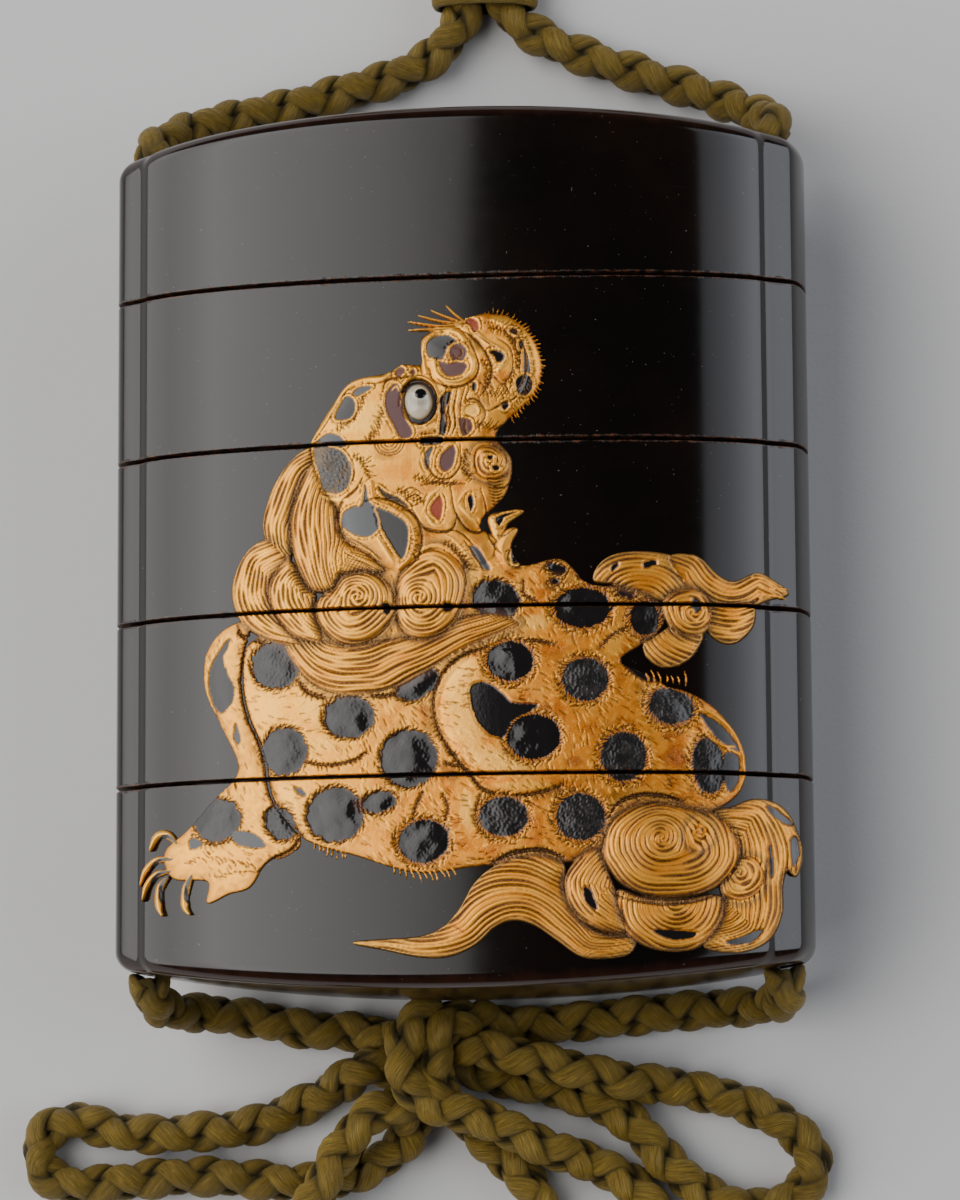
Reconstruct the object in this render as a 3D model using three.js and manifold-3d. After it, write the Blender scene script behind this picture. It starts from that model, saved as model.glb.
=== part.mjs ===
// Inro: a lacquered case of a lid and four stacked boxes, with a lion in raised lacquer on its
// front, lying on its back with its silk cord. Millimetres. X runs across the case, Y towards the
// lid, Z up through the front face. The origin is under the middle of the case.
import * as THREE from 'three';
import { mergeVertices } from 'three/addons/utils/BufferGeometryUtils.js';
import Module from 'manifold-3d';

const wasm = await Module();
wasm.setup();

// ---------------------------------------------------------------- driving dimensions
const halfWidth = 30;
const halfDepth = 11.5;
const bulge = 2.34; // exponent of the lens section: 2 is an ellipse, more is squarer
const halfLength = 37.5; // from the middle to the rim of an end, at the crown
const restCut = 0.06; // taken off the crown of the back, so that the case lies flat
const midZ = halfDepth - restCut;

const edgeRadius = 1.5;
const endArch = 2.4; // the ends fall back by this at the sides
const endDome = 0.3; // and swell by this in the middle of their faces

const strip = { inner: 26.5, outer: 27.2, drop: 0.45, edge: 29, fall: 1.1 }; // over a cord channel

const lidLength = 15;
const caseLength = 14.1;
const seam = 0.3;
const riserHeight = 5;
const riserRoom = 5.5; // depth of the recess that a riser goes up into
const wall = 1.9; // outer wall beside a riser
const riserWall = 1.1;
const fit = 0.3; // clearance round a riser
const floorThickness = 1.4;
const endThickness = 2.4;
const cavityHalfWidth = 25; // inside of a recess, clear of the cord channels
const cavityBulge = 2.9;

const channel = { x: 27.4, radius: 1.65, cordRadius: 1.3 };
const cordRadius = 1.7;
const gap = 0.3; // between solids that touch

// ---------------------------------------------------------------- materials
const lacquer = new THREE.MeshStandardMaterial({ color: 0x1a1210, roughness: 0.12 });
const shell = new THREE.MeshStandardMaterial({ color: 0xd8d8cc, roughness: 0.2 });
const silk = new THREE.MeshStandardMaterial({ color: 0x6b5722, roughness: 0.7 });

// ---------------------------------------------------------------- solids and meshes
function solidFrom(geometry) {
  geometry.deleteAttribute('normal');
  geometry.deleteAttribute('uv');
  const merged = mergeVertices(geometry, 1e-4);
  const corners = merged.index.array;
  const triVerts = [];
  for (let i = 0; i < corners.length; i += 3) {
    const [a, b, c] = corners.slice(i, i + 3);
    if (a !== b && b !== c && c !== a) triVerts.push(a, b, c);
  }
  return new wasm.Manifold(new wasm.Mesh({
    numProp: 3,
    vertProperties: Float32Array.from(merged.attributes.position.array),
    triVerts: Uint32Array.from(triVerts),
  }));
}

function meshFrom(name, solid, material) {
  const { vertProperties, triVerts } = solid.getMesh();
  const geometry = new THREE.BufferGeometry();
  geometry.setAttribute('position', new THREE.BufferAttribute(vertProperties, 3));
  geometry.setIndex(new THREE.BufferAttribute(triVerts, 1));
  geometry.computeVertexNormals();
  const mesh = new THREE.Mesh(geometry, material);
  mesh.name = name;
  return mesh;
}

const unite = (solids) => solids.reduce((sum, next) => sum.add(next));

// ---------------------------------------------------------------- lens sections
const lensHeight = (x, a, b, n) => b * (1 - Math.min(Math.abs(x) / a, 1) ** n) ** (1 / n);

// A quarter of the outer section as [x, z] from the crown to the side, with the strip's step in it.
function outerQuarter() {
  const quarter = [0, 3.2, 6.4, 9.6, 12.8, 16, 19, 21.8, 24.2, strip.inner]
    .map((x) => [x, lensHeight(x, halfWidth, halfDepth, bulge)]);
  const foot = lensHeight(strip.outer, halfWidth, halfDepth, bulge) - strip.drop;
  quarter.push([strip.outer, foot], [strip.edge, foot - strip.fall]);
  const sideHeight = foot - strip.fall;
  for (const turn of [0.35, 0.65, 1]) {
    const angle = (turn * Math.PI) / 2;
    const out = strip.edge + (halfWidth - strip.edge) * Math.sin(angle);
    quarter.push([out, sideHeight * Math.cos(angle)]);
  }
  return quarter;
}

// The four quarters as one ring, anticlockwise seen from the lid's end.
function outerRing() {
  const quarter = outerQuarter();
  const inner = quarter.slice(1, -1);
  const reversed = [...inner].reverse();
  const [crown, side] = [quarter[0], quarter.at(-1)];
  return [
    crown, ...inner, side,
    ...reversed.map(([x, z]) => [x, -z]), [0, -crown[1]],
    ...inner.map(([x, z]) => [-x, -z]), [-side[0], side[1]],
    ...reversed.map(([x, z]) => [-x, z]),
  ];
}

// The whole case as one block: a round drum, whose rings are pushed out to the lens section.
function caseBlock() {
  const ring = outerRing();
  const flat = halfWidth - edgeRadius;
  const end = [[0, halfLength + endDome], [flat / 2, halfLength + 0.75 * endDome]];
  for (let step = 0; step <= 3; step += 1) {
    const angle = (step / 3) * (Math.PI / 2);
    end.push([
      flat + edgeRadius * Math.sin(angle),
      halfLength - edgeRadius * (1 - Math.cos(angle)),
    ]);
  }
  const profile = [...end.map(([r, y]) => [r, -y]), ...[...end].reverse()]
    .map(([r, y]) => new THREE.Vector2(r, y));
  const drum = new THREE.LatheGeometry(profile, ring.length);
  const position = drum.attributes.position;
  for (let i = 0; i < position.count; i += 1) {
    const reach = Math.hypot(position.getX(i), position.getZ(i));
    const turn = Math.atan2(position.getX(i), position.getZ(i)) / (2 * Math.PI);
    const [sectionX, sectionZ] = ring[Math.round((turn + 1) * ring.length) % ring.length];
    const inset = Math.min(halfWidth - reach, edgeRadius);
    const shrink = Math.min(reach / flat, 1);
    const x = sectionX * (1 - inset / halfWidth) * shrink;
    const z = sectionZ * (1 - inset / halfDepth) * shrink;
    const fallBack = endArch * (x / halfWidth) ** 2;
    const y = position.getY(i);
    position.setXYZ(i, x, y - Math.sign(y) * fallBack, Math.max(z + midZ, 0));
  }
  return solidFrom(drum);
}

// A plain lens-section prism between two heights along the case.
function lensPrism(a, b, n, fromY, toY, sides = 40) {
  const points = [];
  for (let i = 0; i < sides; i += 1) {
    const angle = (i / sides) * 2 * Math.PI;
    const [c, s] = [Math.cos(angle), Math.sin(angle)];
    points.push(new THREE.Vector2(
      a * Math.sign(c) * Math.abs(c) ** (2 / n),
      b * Math.sign(s) * Math.abs(s) ** (2 / n),
    ));
  }
  const geometry = new THREE.ExtrudeGeometry(new THREE.Shape(points), {
    depth: toY - fromY, bevelEnabled: false,
  });
  geometry.rotateX(Math.PI / 2).translate(0, toY, midZ);
  return solidFrom(geometry);
}

function slab(fromY, toY) {
  const reach = 3 * halfWidth;
  const geometry = new THREE.BoxGeometry(reach, toY - fromY, reach);
  geometry.translate(0, (fromY + toY) / 2, midZ);
  return solidFrom(geometry);
}

// ---------------------------------------------------------------- the lion
// Each form is a closed curve through a few points [x, y] and a height above the lacquer.
const lionForms = [
  { // trunk, neck to rump
    height: 0.4,
    outline: [[-16.6, -8.2], [-17.6, -11.6], [-16.6, -15.8], [-14.6, -20.4], [-12.2, -24.6],
      [-7, -26.5], [-2, -27.9], [3.4, -27.4], [12, -27], [20, -24], [24.2, -21.6], [24.8, -18.4],
      [23.4, -15.4], [20.8, -13.3], [16.6, -12], [14.9, -10.3], [17.6, -8.4], [18.5, -6.4],
      [16.4, -4.3], [12.4, -4], [10, -1.9], [6.8, -2.4], [4, -1.2], [-4, -2]],
  },
  { // foreleg behind, down to the wrist
    height: 0.32,
    outline: [[-16.6, -6.6], [-18.8, -6.9], [-20.5, -8.9], [-20.6, -12], [-19, -15.4],
      [-17.6, -19], [-20.2, -21.7], [-22.2, -23.8], [-24.4, -25.6], [-23.6, -27.8], [-20.4, -28.2],
      [-20.4, -30], [-18.4, -29.3], [-16.6, -28.8], [-15.2, -26.9], [-13.2, -26.2], [-12.2, -24.8],
      [-14.6, -20.6], [-16.6, -15.4], [-17.4, -10.4]],
  },
  { // haunch and thigh
    height: 0.62,
    outline: [[6, -8.8], [1.6, -10.2], [-0.5, -13.4], [0.2, -17.2], [2.8, -20.4], [6.4, -21.8],
      [12, -21], [18, -20.4], [21.4, -17.6], [19.6, -13.4], [14, -10.4]],
  },
  { // skull, cheek and jaw
    height: 0.66,
    outline: [[-11.2, 8.4], [-9.4, 11.6], [-7.6, 13.7], [-4.6, 14.3], [-3.2, 15], [-1.6, 15],
      [-1.6, 17.2], [0.4, 18], [2.6, 18.9], [4.4, 19.1], [6.8, 18.1], [8.4, 15.2], [8, 12.4],
      [5.6, 10], [4.6, 8.6], [5.9, 6.6], [5.4, 3.8], [3.2, 1.2], [4.6, -0.2], [3.4, -2.6],
      [-3.2, -2.8], [-8, -0.6], [-9, 3], [-11, 5.4]],
  },
  { // upper lip, curling forward
    height: 0.9,
    outline: [[3.6, 18.7], [5.6, 18.9], [7.6, 17.2], [8.5, 14.6], [7.8, 12.2], [5.6, 10.8],
      [6.4, 13], [6.6, 15.6], [5, 17.4]],
  },
  { // nose
    height: 0.95,
    outline: [[-1.6, 16], [-0.8, 17.6], [0.8, 17.8], [2.4, 16.6], [2.8, 14.8], [1.4, 13.5], [-0.4, 14.2]],
  },
  { // brow over the eye
    height: 0.86,
    outline: [[-4.7, 12.6], [-3.8, 13.6], [-3.3, 12.6], [-3, 10.6], [-2.6, 9], [-3.6, 8.9], [-4.5, 10.6]],
  },
  { height: 0.8, outline: [[-0.4, 8], [1.3, 8.2], [1.2, 6.2], [0.2, 5.5], [-0.4, 6.4]] }, // lower lip
  { height: 0.8, outline: [[-1.3, 2.6], [-0.2, 4.2], [0.6, 4], [0.6, 1.8], [-0.2, 1.1]] }, // throat tufts
  { height: 0.8, outline: [[1.4, 3], [2.6, 4.2], [3.2, 3.2], [3.3, 1.2], [2.4, 1.6]] },
  { height: 0.66, outline: [[4.2, 2], [6.9, 2.3], [5.6, 1.2], [4.9, -0.3], [4.1, 0.8]] },
  { height: 0.56, outline: [[5.4, 0.6], [6.4, 0.7], [5.8, -0.8], [6.6, -2.6], [5.2, -2.9], [4.4, -1]] },
  { // mane, outer lock
    height: 0.6,
    outline: [[-11.2, 7.9], [-13.4, 6.8], [-15.2, 3.8], [-15.3, 0.6], [-14.2, -1.4], [-12.6, -1],
      [-12.7, 2.6], [-11, 6]],
  },
  { // mane, inner lock
    height: 0.76,
    outline: [[-10.6, 5.6], [-12.6, 2.8], [-12.9, -0.6], [-11.6, -3.6], [-9.6, -4.2], [-7.6, -2.8],
      [-5, -2.6], [-7.4, -0.2], [-9, 2.4]],
  },
  { // mane, lower left curls
    height: 0.52,
    outline: [[-14.8, 0.4], [-17, -0.9], [-18.1, -3.6], [-17.4, -6.6], [-14.4, -8.4], [-12, -8.4], [-13, -3]],
  },
  {
    height: 0.68,
    outline: [[-13.2, -1.3], [-14.7, -3.2], [-14.6, -6], [-12.6, -8.4], [-10.2, -7.8], [-10.8, -4.4]],
  },
  { // mane, the two round curls
    height: 0.86,
    outline: [[-9.3, -3.6], [-7, -2.6], [-4.7, -3.6], [-3.9, -5.8], [-5.2, -8.1], [-7.8, -8.7],
      [-10, -7], [-10.2, -4.9]],
  },
  {
    height: 0.8,
    outline: [[-3.8, -4], [-2.2, -1.4], [-0.2, -0.5], [1.6, -2], [2.1, -4.6], [0.8, -7.2],
      [-1.8, -8.3], [-3.8, -6.6]],
  },
  { // mane, long locks under the curls
    height: 0.56,
    outline: [[-12.4, -8.2], [-11.2, -11], [-8.4, -12.9], [-4.6, -12.8], [-0.6, -10.8], [3.6, -8.7],
      [6.4, -7.6], [3, -6.3], [-2, -7.4], [-7, -8]],
  },
  { // tail tuft over the back
    height: 0.5,
    outline: [[12.8, -3.4], [14.2, -1.7], [17, -1.3], [21, -1.6], [23.8, -3.6], [26.2, -2.9],
      [28.4, -4.6], [26.2, -5.4], [25.4, -8.1], [23.4, -8.9], [21.8, -8.3], [20.6, -10.5],
      [18.2, -10.9], [16.9, -9.5], [18.4, -7.6], [17.2, -5], [14.6, -4]],
  },
  { // tail, forward lock along the lower rim
    height: 0.5,
    outline: [[-7.6, -33.8], [-2, -33.4], [1.2, -31.4], [3.6, -28], [7, -26.6], [9.8, -27.8],
      [11.6, -31.6], [15.8, -33.5], [15, -35], [12, -35], [8.4, -32.8], [5.2, -32.3], [1.4, -34.7],
      [-2, -34.9]],
  },
  { // tail, lock beside the great curl
    height: 0.68,
    outline: [[10.3, -28.4], [12.6, -26.3], [13.4, -28.6], [14.6, -31], [15, -33.3], [12.2, -33],
      [10.6, -31]],
  },
  { // tail, the locks at the right
    height: 0.55,
    outline: [[22.4, -23.6], [25, -21.9], [27.4, -22.4], [29.1, -24.8], [29, -27.6], [28, -29.2],
      [27.6, -32.6], [25, -34.6], [21.6, -34.3], [23, -31], [24.4, -27]],
  },
  { // tail, the great curl
    height: 0.86,
    outline: [[13.3, -26.4], [14.4, -23.6], [17.6, -22.4], [21.6, -23], [24.2, -25.2], [24.4, -27.6],
      [21.6, -29.8], [17.6, -30.1], [14.4, -28.9]],
  },
  { // tail, the curl below it
    height: 0.66,
    outline: [[14.6, -29.6], [18, -30.2], [22.2, -30.3], [22.6, -32.4], [20.4, -34.4], [17, -34.4],
      [14.7, -32.4]],
  },
];

// Spiral ridges on the curls: centre, outer radius, turns and height.
const lionCurls = [
  { x: -6.9, y: -4.9, radius: 2, turns: 2, height: 1.02 },
  { x: -1.6, y: -4.9, radius: 2.1, turns: 2, height: 0.96 },
  { x: 18.4, y: -25.4, radius: 2.6, turns: 2.2, height: 1.04 },
  { x: 20.9, y: -6.4, radius: 2, turns: 1.8, height: 0.7 },
  { x: 4.2, y: 6.4, radius: 1.6, turns: 1.8, height: 0.9 },
  { x: 1.3, y: 15.6, radius: 1.3, turns: 1.4, height: 1.1 },
];
const ridgeWidth = 0.4;

// Five claws of the front paw: root, tip and width at the root.
const claws = [
  { root: [-23.2, -24.4], tip: [-25.9, -25.4], width: 1.5 },
  { root: [-23.9, -26.6], tip: [-26.9, -28.2], width: 1.1 },
  { root: [-24.2, -27.6], tip: [-26.7, -29.6], width: 1 },
  { root: [-24.2, -28], tip: [-24.7, -31], width: 1.5 },
  { root: [-21.9, -28], tip: [-22.2, -31], width: 1.7 },
];
const clawHeight = 0.45;

const reliefFloor = midZ + 1.5; // relief stays above this, on the front face
const reliefReach = 29.6;

function reliefSolid(points, height) {
  const shape = new THREE.Shape(points);
  const prism = new THREE.ExtrudeGeometry(shape, { depth: 2 * halfDepth, bevelEnabled: false });
  prism.translate(0, 0, reliefFloor);
  const skin = lensPrism(halfWidth + height, halfDepth + height, bulge, -halfLength, halfLength, 64);
  const trim = new THREE.BoxGeometry(2 * reliefReach, 3 * halfLength, 6 * halfDepth);
  return solidFrom(prism).intersect(skin).intersect(solidFrom(trim));
}

function smoothOutline(outline, stepsPerPoint = 2) {
  const knots = outline.map(([x, y]) => new THREE.Vector3(x, y, 0));
  const curve = new THREE.CatmullRomCurve3(knots, true, 'centripetal');
  const points = curve.getPoints(outline.length * stepsPerPoint).slice(0, -1);
  return points.map((p) => new THREE.Vector2(p.x, p.y));
}

function spiralOutline({ x, y, radius, turns }) {
  const steps = Math.round(turns * 10);
  const edge = (offset) => Array.from({ length: steps + 1 }, (_, i) => {
    const along = i / steps;
    const angle = along * turns * 2 * Math.PI;
    const reach = radius * along + 0.25 + offset;
    return new THREE.Vector2(x + reach * Math.cos(angle), y + reach * Math.sin(angle));
  });
  return [...edge(ridgeWidth / 2), ...edge(-ridgeWidth / 2).reverse()];
}

function clawOutline({ root, tip, width }) {
  const [dx, dy] = [tip[0] - root[0], tip[1] - root[1]];
  const length = Math.hypot(dx, dy);
  const across = [(-dy / length) * width / 2, (dx / length) * width / 2];
  const at = (along, side) => new THREE.Vector2(
    root[0] + dx * along + across[0] * side, root[1] + dy * along + across[1] * side,
  );
  return [at(-0.1, -0.8), at(0.3, -1), at(0.75, -0.6), at(1, 0), at(0.75, 0.6), at(0.3, 1), at(-0.1, 0.8)];
}

function lionRelief() {
  return unite([
    ...lionForms.map(({ outline, height }) => reliefSolid(smoothOutline(outline), height)),
    ...lionCurls.map((curl) => reliefSolid(spiralOutline(curl), curl.height)),
    ...claws.map((claw) => reliefSolid(clawOutline(claw), clawHeight)),
  ]);
}

// ---------------------------------------------------------------- eye
const eye = { x: -1.85, y: 11.75, halfWidth: 1.35, halfHeight: 1.7, tilt: 0.2, seat: 1, proud: 1.15 };

function eyeDisc(margin, fromZ, toZ) {
  const shape = new THREE.Shape();
  const [a, b] = [eye.halfWidth + margin, eye.halfHeight + margin];
  shape.absellipse(eye.x, eye.y, a, b, 0, 2 * Math.PI, false, eye.tilt);
  const geometry = new THREE.ExtrudeGeometry(shape, {
    depth: toZ - fromZ, bevelEnabled: false, curveSegments: 6,
  });
  return solidFrom(geometry.translate(0, 0, fromZ));
}

const eyeZ = midZ + lensHeight(eye.x, halfWidth, halfDepth, bulge);

function eyeInlay() {
  const shape = new THREE.Shape();
  shape.absellipse(0, 0, eye.halfWidth, eye.halfHeight, 0, 2 * Math.PI, false, 0);
  const rise = 0.3;
  const geometry = new THREE.ExtrudeGeometry(shape, {
    depth: eye.seat + eye.proud - gap - 2 * rise,
    bevelEnabled: true,
    bevelThickness: rise,
    bevelSize: 0.6,
    bevelOffset: -0.6,
    bevelSegments: 2,
    curveSegments: 6,
  });
  geometry.rotateZ(eye.tilt).translate(eye.x, eye.y, eyeZ - eye.seat + gap + rise);
  return solidFrom(geometry);
}

// ---------------------------------------------------------------- lid and cases
function rod(x, radius, fromY, toY, sides) {
  const geometry = new THREE.CylinderGeometry(radius, radius, toY - fromY, sides);
  return solidFrom(geometry.translate(x, (fromY + toY) / 2, midZ));
}

const recess = (fromY, toY) => lensPrism(cavityHalfWidth, halfDepth - wall, cavityBulge, fromY, toY);
const riser = (fromY, toY) => lensPrism(
  cavityHalfWidth - fit, halfDepth - wall - fit, cavityBulge, fromY, toY,
);
const cavity = (fromY, toY) => lensPrism(
  cavityHalfWidth - fit - riserWall, halfDepth - wall - fit - riserWall, cavityBulge, fromY, toY,
);

const overrun = 2; // how far a cutting solid runs past what it cuts
const seams = [0, 1, 2, 3].map((i) => halfLength - lidLength - i * caseLength);

function pieces() {
  const channels = [-1, 1].map((side) => rod(
    side * channel.x, channel.radius, -halfLength - overrun, halfLength + overrun, 12,
  ));
  const eyeSeat = eyeDisc(gap, eyeZ - eye.seat, eyeZ + 2 * halfDepth);
  const decorated = caseBlock().add(lionRelief()).subtract(unite([...channels, eyeSeat]));

  const lid = decorated
    .intersect(slab(seams[0] + seam / 2, halfLength + overrun))
    .subtract(recess(seams[0] - overrun, halfLength - endThickness));

  const cases = seams.map((top, i) => {
    const bottomMost = i === seams.length - 1;
    const bottom = bottomMost ? -halfLength - overrun : seams[i + 1] + seam / 2;
    const floorTop = bottomMost
      ? -halfLength + endThickness
      : bottom + riserRoom + floorThickness;
    const rim = top - seam / 2;
    let box = decorated.intersect(slab(bottom, rim));
    if (!bottomMost) box = box.subtract(recess(bottom - overrun, bottom + riserRoom));
    return box
      .add(riser(rim - floorThickness, rim + riserHeight))
      .subtract(cavity(floorTop, rim + riserHeight + overrun));
  });
  return { lid, cases };
}

// ---------------------------------------------------------------- cord
function cordTube(route, step = 6.5) {
  const knots = route.map((point) => new THREE.Vector3(...point));
  const curve = new THREE.CatmullRomCurve3(knots, false, 'centripetal');
  const steps = Math.max(3, Math.round(curve.getLength() / step));
  const section = new THREE.Shape(Array.from({ length: 8 }, (_, i) => {
    const angle = ((i + 0.5) / 8) * 2 * Math.PI;
    return new THREE.Vector2(cordRadius * Math.cos(angle), cordRadius * Math.sin(angle));
  }));
  return solidFrom(new THREE.ExtrudeGeometry(section, { steps, extrudePath: curve, bevelEnabled: false }));
}

const lie = 1.8; // height of the cord's centre where it lies flat
const over = 5.6; // and where it passes over another stretch

const cordRoutes = {
  cord_upper_left: [
    [-27.4, 36.1, 11.3], [-27.4, 37.1, 11.15], [-26.9, 38.5, 8.8], [-24.8, 40.3, 5.8],
    [-21.4, 41.6, 3.8], [-16.6, 42.9, 2.2], [-11.2, 44.3, lie], [-6.6, 45.6, lie],
    [-3.7, 47.2, lie], [-1.9, 49.2, lie], [-0.9, 51.3, lie],
  ],
  cord_upper_right: [
    [27.4, 36.1, 11.3], [27.4, 37.1, 11.15], [26.9, 38.4, 8.4], [24.6, 40.3, 4.9],
    [19.8, 42.8, 2.6], [15, 44.7, lie], [10.6, 46.3, lie], [7, 47.9, lie], [4.3, 49.6, lie],
    [2.9, 51.3, lie],
  ],
  cord_lower_left: [
    [-27.4, -36, 11.3], [-27.4, -37, 11.15], [-27, -38.1, 7.8], [-25.8, -38.3, 4.8],
    [-23.6, -38.5, 2.8], [-20, -38.9, lie], [-14.8, -40, lie], [-9.8, -40.4, lie],
  ],
  cord_lower_right: [
    [27.4, -36, 11.3], [27.4, -37, 11.15], [27, -38.1, 7.8], [25.8, -38.2, 4.8],
    [23.6, -38.4, 2.8], [19, -38.6, lie], [14, -39, lie], [8.4, -39.5, lie], [1.2, -39.9, lie],
  ],
  bow_loop_right: [
    [1.2, -42, over], [7.2, -43.4, over], [12.2, -44.6, 4.4], [17.4, -45.3, lie],
    [22.6, -46.6, lie], [26.9, -48.8, lie], [28.9, -51.7, lie], [27.4, -54.6, lie],
    [23.8, -55.7, lie], [19.9, -54.6, lie], [16.2, -51.6, lie], [13.2, -48.3, lie],
    [9.4, -46.2, lie], [4.4, -44.8, lie],
  ],
  bow_loop_left: [
    [-9.4, -43.2, 4.4], [-12.4, -44.9, 3], [-16.2, -46.7, lie], [-20.6, -48.3, lie],
    [-25, -48.7, lie], [-29.4, -48.9, lie], [-33.2, -48.4, lie], [-36.2, -47.6, lie],
    [-38.6, -48.6, lie], [-39.3, -50.8, lie], [-38, -52.8, lie], [-34.8, -53.3, lie],
    [-30.4, -52.9, lie], [-25.8, -52.6, lie], [-21.3, -52.8, lie], [-16.9, -53.2, lie],
    [-12.4, -52.9, lie], [-7.4, -50.6, lie],
  ],
  bow_tail: [
    [-8.6, -46.8, over], [-11.3, -50, over], [-13.3, -53.4, 6], [-15.4, -57.4, 3.8],
    [-16.6, -61.2, lie],
  ],
  bow_lower_loop: [
    [1.8, -46.9, over], [5.6, -49.9, 4.4], [9.6, -51.7, lie], [13.2, -53.6, lie],
    [15.4, -56.6, lie], [15.4, -60, lie], [12.9, -62.6, lie], [9.4, -62.6, lie], [6.8, -60, lie],
    [5.6, -56.4, lie], [4, -53.2, lie], [0.6, -49.9, lie],
  ],
};

const coil = { x: 1, y: 81.8, turnRadius: 18.6, height: 2 * lie };
const tie = { x: 1, y: 53.6, halfWidth: 4.2, halfLength: 1.9, height: 4.4 };
const bowKnot = { x: -4.2, y: -42.6, halfWidth: 4.6, halfLength: 4.7, height: 8.6 };
const endKnot = { x: -17.4, y: -64.8, radius: 2.9 };

// A rounded lump that stands on the surface: a sphere drawn out to the given half sizes.
function lump(x, y, halfX, halfY, height) {
  const geometry = new THREE.SphereGeometry(1, 12, 8);
  geometry.scale(halfX, halfY, height / 2).translate(x, y, height / 2);
  return solidFrom(geometry);
}

function coilRing() {
  const inner = coil.turnRadius - cordRadius;
  const outer = coil.turnRadius + 3 * cordRadius;
  const section = [[inner, 0], [outer, 0], [outer, coil.height], [inner, coil.height], [inner, 0]]
    .map(([r, y]) => new THREE.Vector2(r, y));
  const geometry = new THREE.LatheGeometry(section, 32);
  return solidFrom(geometry.rotateX(Math.PI / 2).translate(coil.x, coil.y, 0));
}

function sideCord(side) {
  const reach = halfLength - 3.5;
  return rod(side * channel.x, channel.cordRadius, -reach, reach, 8);
}

// ---------------------------------------------------------------- the object
const inro = new THREE.Group();
const { lid, cases } = pieces();
inro.add(meshFrom('lid', lid, lacquer));
cases.forEach((box, i) => inro.add(meshFrom(`case_${i + 1}`, box, lacquer)));
inro.add(meshFrom('eye_inlay', eyeInlay(), shell));

inro.add(meshFrom('cord_side_left', sideCord(-1), silk));
inro.add(meshFrom('cord_side_right', sideCord(1), silk));
for (const [name, route] of Object.entries(cordRoutes)) {
  inro.add(meshFrom(name, cordTube(route), silk));
}
inro.add(meshFrom('cord_coil', coilRing(), silk));
inro.add(meshFrom('cord_tie', lump(tie.x, tie.y, tie.halfWidth, tie.halfLength, tie.height), silk));
inro.add(meshFrom(
  'bow_knot', lump(bowKnot.x, bowKnot.y, bowKnot.halfWidth, bowKnot.halfLength, bowKnot.height), silk,
));
inro.add(meshFrom(
  'cord_end_knot', lump(endKnot.x, endKnot.y, endKnot.radius, endKnot.radius, 2 * endKnot.radius), silk,
));

export default inro;
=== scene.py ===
import math

import bmesh
import bpy
import numpy as np
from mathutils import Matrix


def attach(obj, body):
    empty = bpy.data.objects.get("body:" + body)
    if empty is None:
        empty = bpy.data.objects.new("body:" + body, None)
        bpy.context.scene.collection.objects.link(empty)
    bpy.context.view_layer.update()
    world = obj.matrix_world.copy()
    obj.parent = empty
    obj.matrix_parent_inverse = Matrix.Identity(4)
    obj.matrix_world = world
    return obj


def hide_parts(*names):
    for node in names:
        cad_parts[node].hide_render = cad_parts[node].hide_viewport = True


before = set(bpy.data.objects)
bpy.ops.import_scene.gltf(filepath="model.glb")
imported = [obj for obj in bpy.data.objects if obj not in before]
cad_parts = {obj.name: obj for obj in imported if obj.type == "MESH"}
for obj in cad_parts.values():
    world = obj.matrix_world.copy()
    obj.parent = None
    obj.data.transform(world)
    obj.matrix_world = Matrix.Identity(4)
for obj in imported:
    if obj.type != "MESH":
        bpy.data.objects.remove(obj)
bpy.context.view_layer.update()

mm = 0.001


# camera, floor and light; the camera's place is in millimetres and its turn in degrees
view = {"place": (57.77, -57.61, 403.3), "turn": (7.7226, 8.2062, -0.3288), "lens": 139.08, "sensor": 36}

floor = {"size": 4.0, "colour": (0.53, 0.53, 0.53), "darker": (0.46, 0.46, 0.455), "rough": 0.85,
         "relief": 0.05, "grain": 0.35}

# a panel hangs between an upper and a lower edge (x, z), reaches along y, and its light runs
# through the stops from the upper edge down; its places are in metres
softboxes = {
    "softboxLeft": {
        "upper": (-0.136, 1.192), "lower": (-1.13, 0.05), "reach": (-0.6, 0.9), "tint": (1.0, 0.985, 0.965),
        "light": ((0, 1.3), (0.02, 1.65), (0.045, 1.95), (0.085, 2.3), (0.14, 2.65), (0.22, 3.1),
                  (0.31, 3.5), (0.39, 3.9), (0.485, 4.3), (0.565, 3.5), (0.68, 2.9), (0.8, 3.0),
                  (0.92, 3.0), (1, 2.2)),
    },
    "softboxRight": {
        "upper": (0.66, 0.95), "lower": (1.15, 0.04), "reach": (-0.46, 0.84), "tint": (0.95, 0.98, 1.06),
        "light": ((0, 0.8), (0.1, 1.2), (0.22, 1.6), (0.5, 3.1), (0.62, 3.1), (1, 2.6)),
    },
}
roomLight = {"colour": (1.0, 1.0, 1.0), "strength": 0.03}


def addCamera():
    data = bpy.data.cameras.new("camera")
    data.sensor_fit = "VERTICAL"
    data.sensor_height = view["sensor"]
    data.lens = view["lens"]
    data.clip_start = 0.01
    camera = bpy.data.objects.new("camera", data)
    camera.location = [v * mm for v in view["place"]]
    camera.rotation_euler = [math.radians(v) for v in view["turn"]]
    bpy.context.scene.collection.objects.link(camera)
    bpy.context.scene.camera = camera


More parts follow.
